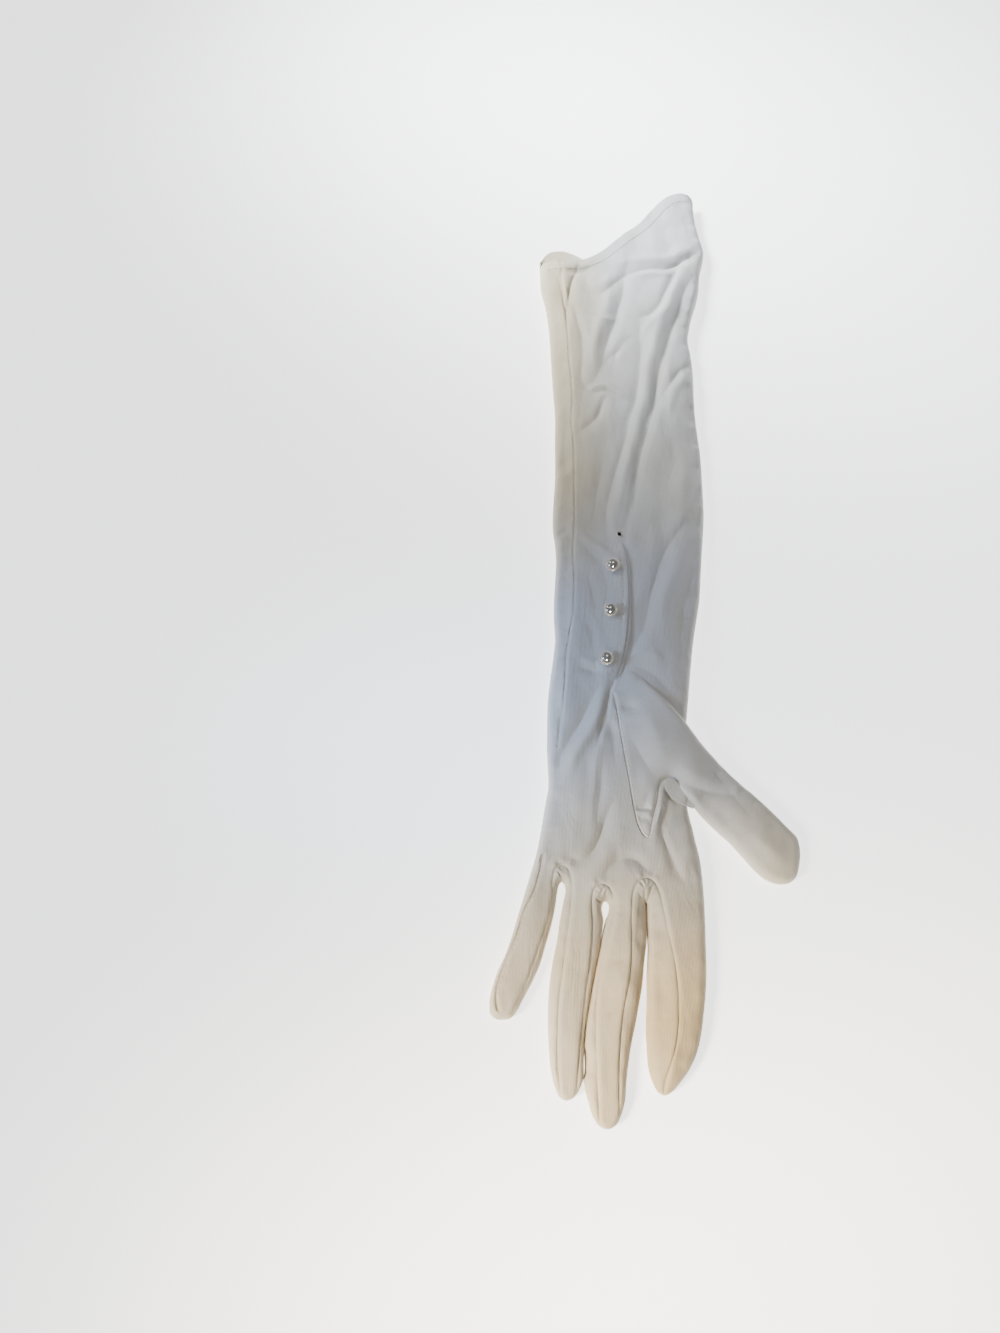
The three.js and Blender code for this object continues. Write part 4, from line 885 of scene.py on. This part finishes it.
bpy.ops.object.select_all(action="DESELECT")
bpy.ops.mesh.primitive_uv_sphere_add(segments=48, ring_count=28, radius=PEARL_RADIUS)
pearl = bpy.context.active_object
bpy.ops.object.mode_set(mode="EDIT")
bpy.ops.mesh.select_all(action="SELECT")
bpy.ops.transform.resize(value=(1, 1, PEARL_FLATTENING))
bpy.ops.mesh.bisect(plane_co=(0, 0, -PEARL_SUNK), plane_no=(0, 0, 1), use_fill=True, clear_inner=True)
bpy.ops.object.mode_set(mode="OBJECT")
bpy.ops.object.shade_smooth_by_angle(angle=math.radians(40))
pearl.data.materials.append(pearl_lustre())

for k, tilt in enumerate(BUTTON_TILTS):
    lowest, highest = (Vector(corner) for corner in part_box(f"button_{k + 1}_cup"))
    foot = Vector(((lowest.x + highest.x) / 2, (lowest.y + highest.y) / 2, lowest.z))
    lean = Matrix.Translation(foot) @ Euler((*tilt, 0)).to_matrix().to_4x4()
    for part, pattern, up, slot in (("cup", cup, 0, "button_metal"), ("pearl", pearl, SHANK + CUP_DEPTH, "pearl")):
        mesh = pattern.data.copy()
        mesh.transform(lean @ Matrix.Translation((0, 0, up)))
        piece = bpy.data.objects.new(f"glove_button_{k + 1}_{part}", mesh)
        bpy.context.scene.collection.objects.link(piece)
        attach(piece, "root")
        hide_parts(f"button_{k + 1}_{part}")
for pattern in (cup, pearl):
    bpy.data.objects.remove(pattern)


# Stitching
# Fine nylon thread shows where the hems and the placket are stitched down, round the thumb and up the little
# finger, and as a whipped ring round the eyelet at the end of the placket.
STITCH_LENGTH, STITCH_RADIUS, DIP, HALF_STEP, STANDING_OUT = 1.5, 0.17, 0.16, 0.7, 0.06
BESIDE_THUMB_SEAM, BESIDE_LITTLE_SEAM = 0.75, 0.7
thread, tree, shader = finish("nylon_thread", Roughness=0.45, Sheen_Weight=0.2)
dulled = aged(tree, (0.70, 0.66, 0.59, 1), (0.86, 0.78, 0.66, 1), 60.0, 0.8)
place = tree.nodes.new("ShaderNodeTexCoord")
plies = fitted(tree, "TexWave", [("bands_direction", "DIAGONAL")], Vector=place.outputs["Object"], Scale=1500.0)
twist = fitted(tree, "Bump", Strength=0.4, Distance=0.00005, Height=plies.outputs["Fac"])
fill(tree, shader, Base_Color=dulled.outputs["Colour"], Normal=twist.outputs["Normal"])

bpy.ops.object.select_all(action="DESELECT")
bpy.ops.mesh.primitive_cylinder_add(vertices=6, radius=STITCH_RADIUS, depth=STITCH_LENGTH,
                                    rotation=(0, math.pi / 2, 0))
stitch = bpy.context.active_object
bpy.ops.object.transform_apply(location=False, rotation=True, scale=False)
bpy.ops.object.mode_set(mode="EDIT")
bpy.ops.mesh.select_mode(type="FACE")
for way in (1, -1):
    select_faces(stitch.data, lambda face: face.normal.x * way > 0.9)
    bpy.ops.mesh.extrude_region_move(TRANSFORM_OT_translate={"value": (DIP * way, 0, -DIP)})
    bpy.ops.transform.resize(value=(1, 0.7, 0.7))
bpy.ops.object.mode_set(mode="OBJECT")
stitch_points = np.array([tuple(v.co) for v in stitch.data.vertices])
stitch_faces = [tuple(face.vertices) for face in stitch.data.polygons]
bpy.data.objects.remove(stitch)


def stitched(name, runs):
    """Lays rows of stitches on the cloth, each run a line, the surface under it and the way between stitches."""
    points, faces = [], []
    for line, tree, spacing in runs:
        reach = np.concatenate([[0], np.cumsum(np.hypot(*np.diff(line, axis=0).T))])
        for way in np.arange(spacing / 2, reach[-1] - spacing / 2, spacing):
            ends_at = [[np.interp(way + d, reach, line[:, k]) for k in (0, 1)] for d in (-HALF_STEP, HALF_STEP)]
            (start, start_up), (end, end_up) = (
                tree.ray_cast(Vector((*place, 60)), Vector((0, 0, -1)))[:2] for place in ends_at)
            if start is None or end is None:
                continue
            forward = (end - start).normalized()
            sideways = (start_up + end_up).normalized().cross(forward).normalized()
            upward = forward.cross(sideways)
            turn = np.array([forward, sideways, upward])
            centre = np.array((start + end) / 2) + STANDING_OUT * np.array(upward)
            first = len(points) * len(stitch_points)
            points.append(stitch_points @ turn + centre)
            faces += [tuple(first + i for i in face) for face in stitch_faces]
    mesh = bpy.data.meshes.new(name)
    mesh.from_pydata((np.vstack(points) / 1000).tolist(), [], faces)
    mesh.shade_smooth()
    mesh.materials.append(thread)
    piece = bpy.data.objects.new(name, mesh)
    bpy.context.scene.collection.objects.link(piece)
    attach(piece, "root")


stitched("stitching_placket", [(beside(band_line[3:-4], -BAND_STITCHES), band_tree, 2.1)])
hem = front[(front[:, 0] > -38) & (front[:, 0] < 41)]
stitched("stitching_cuff", [(beside(hem, -HEM_WIDTH), palm_tree, 2.3)])
stitched("stitching_thumb", [(beside(thumb_seam[6:-9], way * BESIDE_THUMB_SEAM), tree, 2.1)
                             for way, tree in ((1, thumb_tree), (-1, palm_tree))])
stitched("stitching_little_finger", [(beside(little_seam[3:-3], way * BESIDE_LITTLE_SEAM), palm_tree, 2.2)
                                     for way in (1, -1)])
stitched("stitching_eyelet", [(EYELET + circle * (1.35, 1.6), palm_tree, 0.62)])

# Floor and light
# A plain white floor. A warm soft light stands low by the fingers and a cool one by the cuff, with a blue glow on
# the palm between them, all on the left. A window behind the camera makes the highlights on the pearls, and a
# weak lamp from the cuff's end fills the wrist.
bpy.ops.mesh.primitive_plane_add(size=6, location=(0, 0, -0.0005))
floor = bpy.context.active_object
floor.name = "floor"
pale, tree, shader = finish("pale_floor", Roughness=0.9, Emission_Color=(1, 1, 1, 1), Emission_Strength=2.2)
evened = aged(tree, (0.93, 0.93, 0.93, 1), (0.985, 0.985, 0.985, 1), 3.0, 1.0)
fill(tree, shader, Base_Color=evened.outputs["Colour"])
floor.data.materials.append(pale)
for name, place, aim, size, beam, power, colour in (  # metres, degrees and watts
    ("warm_side", (-0.44, -0.42, 0.40), (0.02, -0.285, 0), 0.2, 31, 0.92, (1, 0.91, 0.76)),
    ("cool_side", (-0.40, 0.46, 0.40), (0.04, 0.275, 0), 0.22, 38, 1.35, (0.93, 0.96, 1)),
    ("sky", (-0.40, -0.09, 0.20), (-0.035, -0.07, 0), 0.08, 28, 0.055, (0.4, 0.6, 1)),
    ("window", (-0.02, -0.75, 0.80), (-0.01, -0.03, 0), 0.3, 30, 1.2, (1, 0.99, 0.96)),
    ("fill", (0.05, 0.35, 0.75), (-0.01, -0.01, 0), 0.3, 30, 0.05, (1, 0.97, 0.92)),
):
    lamp = bpy.data.lights.new(name, "AREA")
    lamp.size, lamp.energy, lamp.color, lamp.spread = size, power, colour, math.radians(beam)
    light = bpy.data.objects.new(name, lamp)
    light.location = place
    light.visible_diffuse = name != "window"  # the window shows in the gloss only
    light.rotation_euler = (Vector(aim) - Vector(place)).to_track_quat("-Z", "Y").to_euler()
    bpy.context.scene.collection.objects.link(light)
world = bpy.data.worlds.new("studio")
world.use_nodes = True
fill(world.node_tree, world.node_tree.nodes["Background"], Color=(0.8, 0.88, 1, 1), Strength=0.22)
bpy.context.scene.world = world
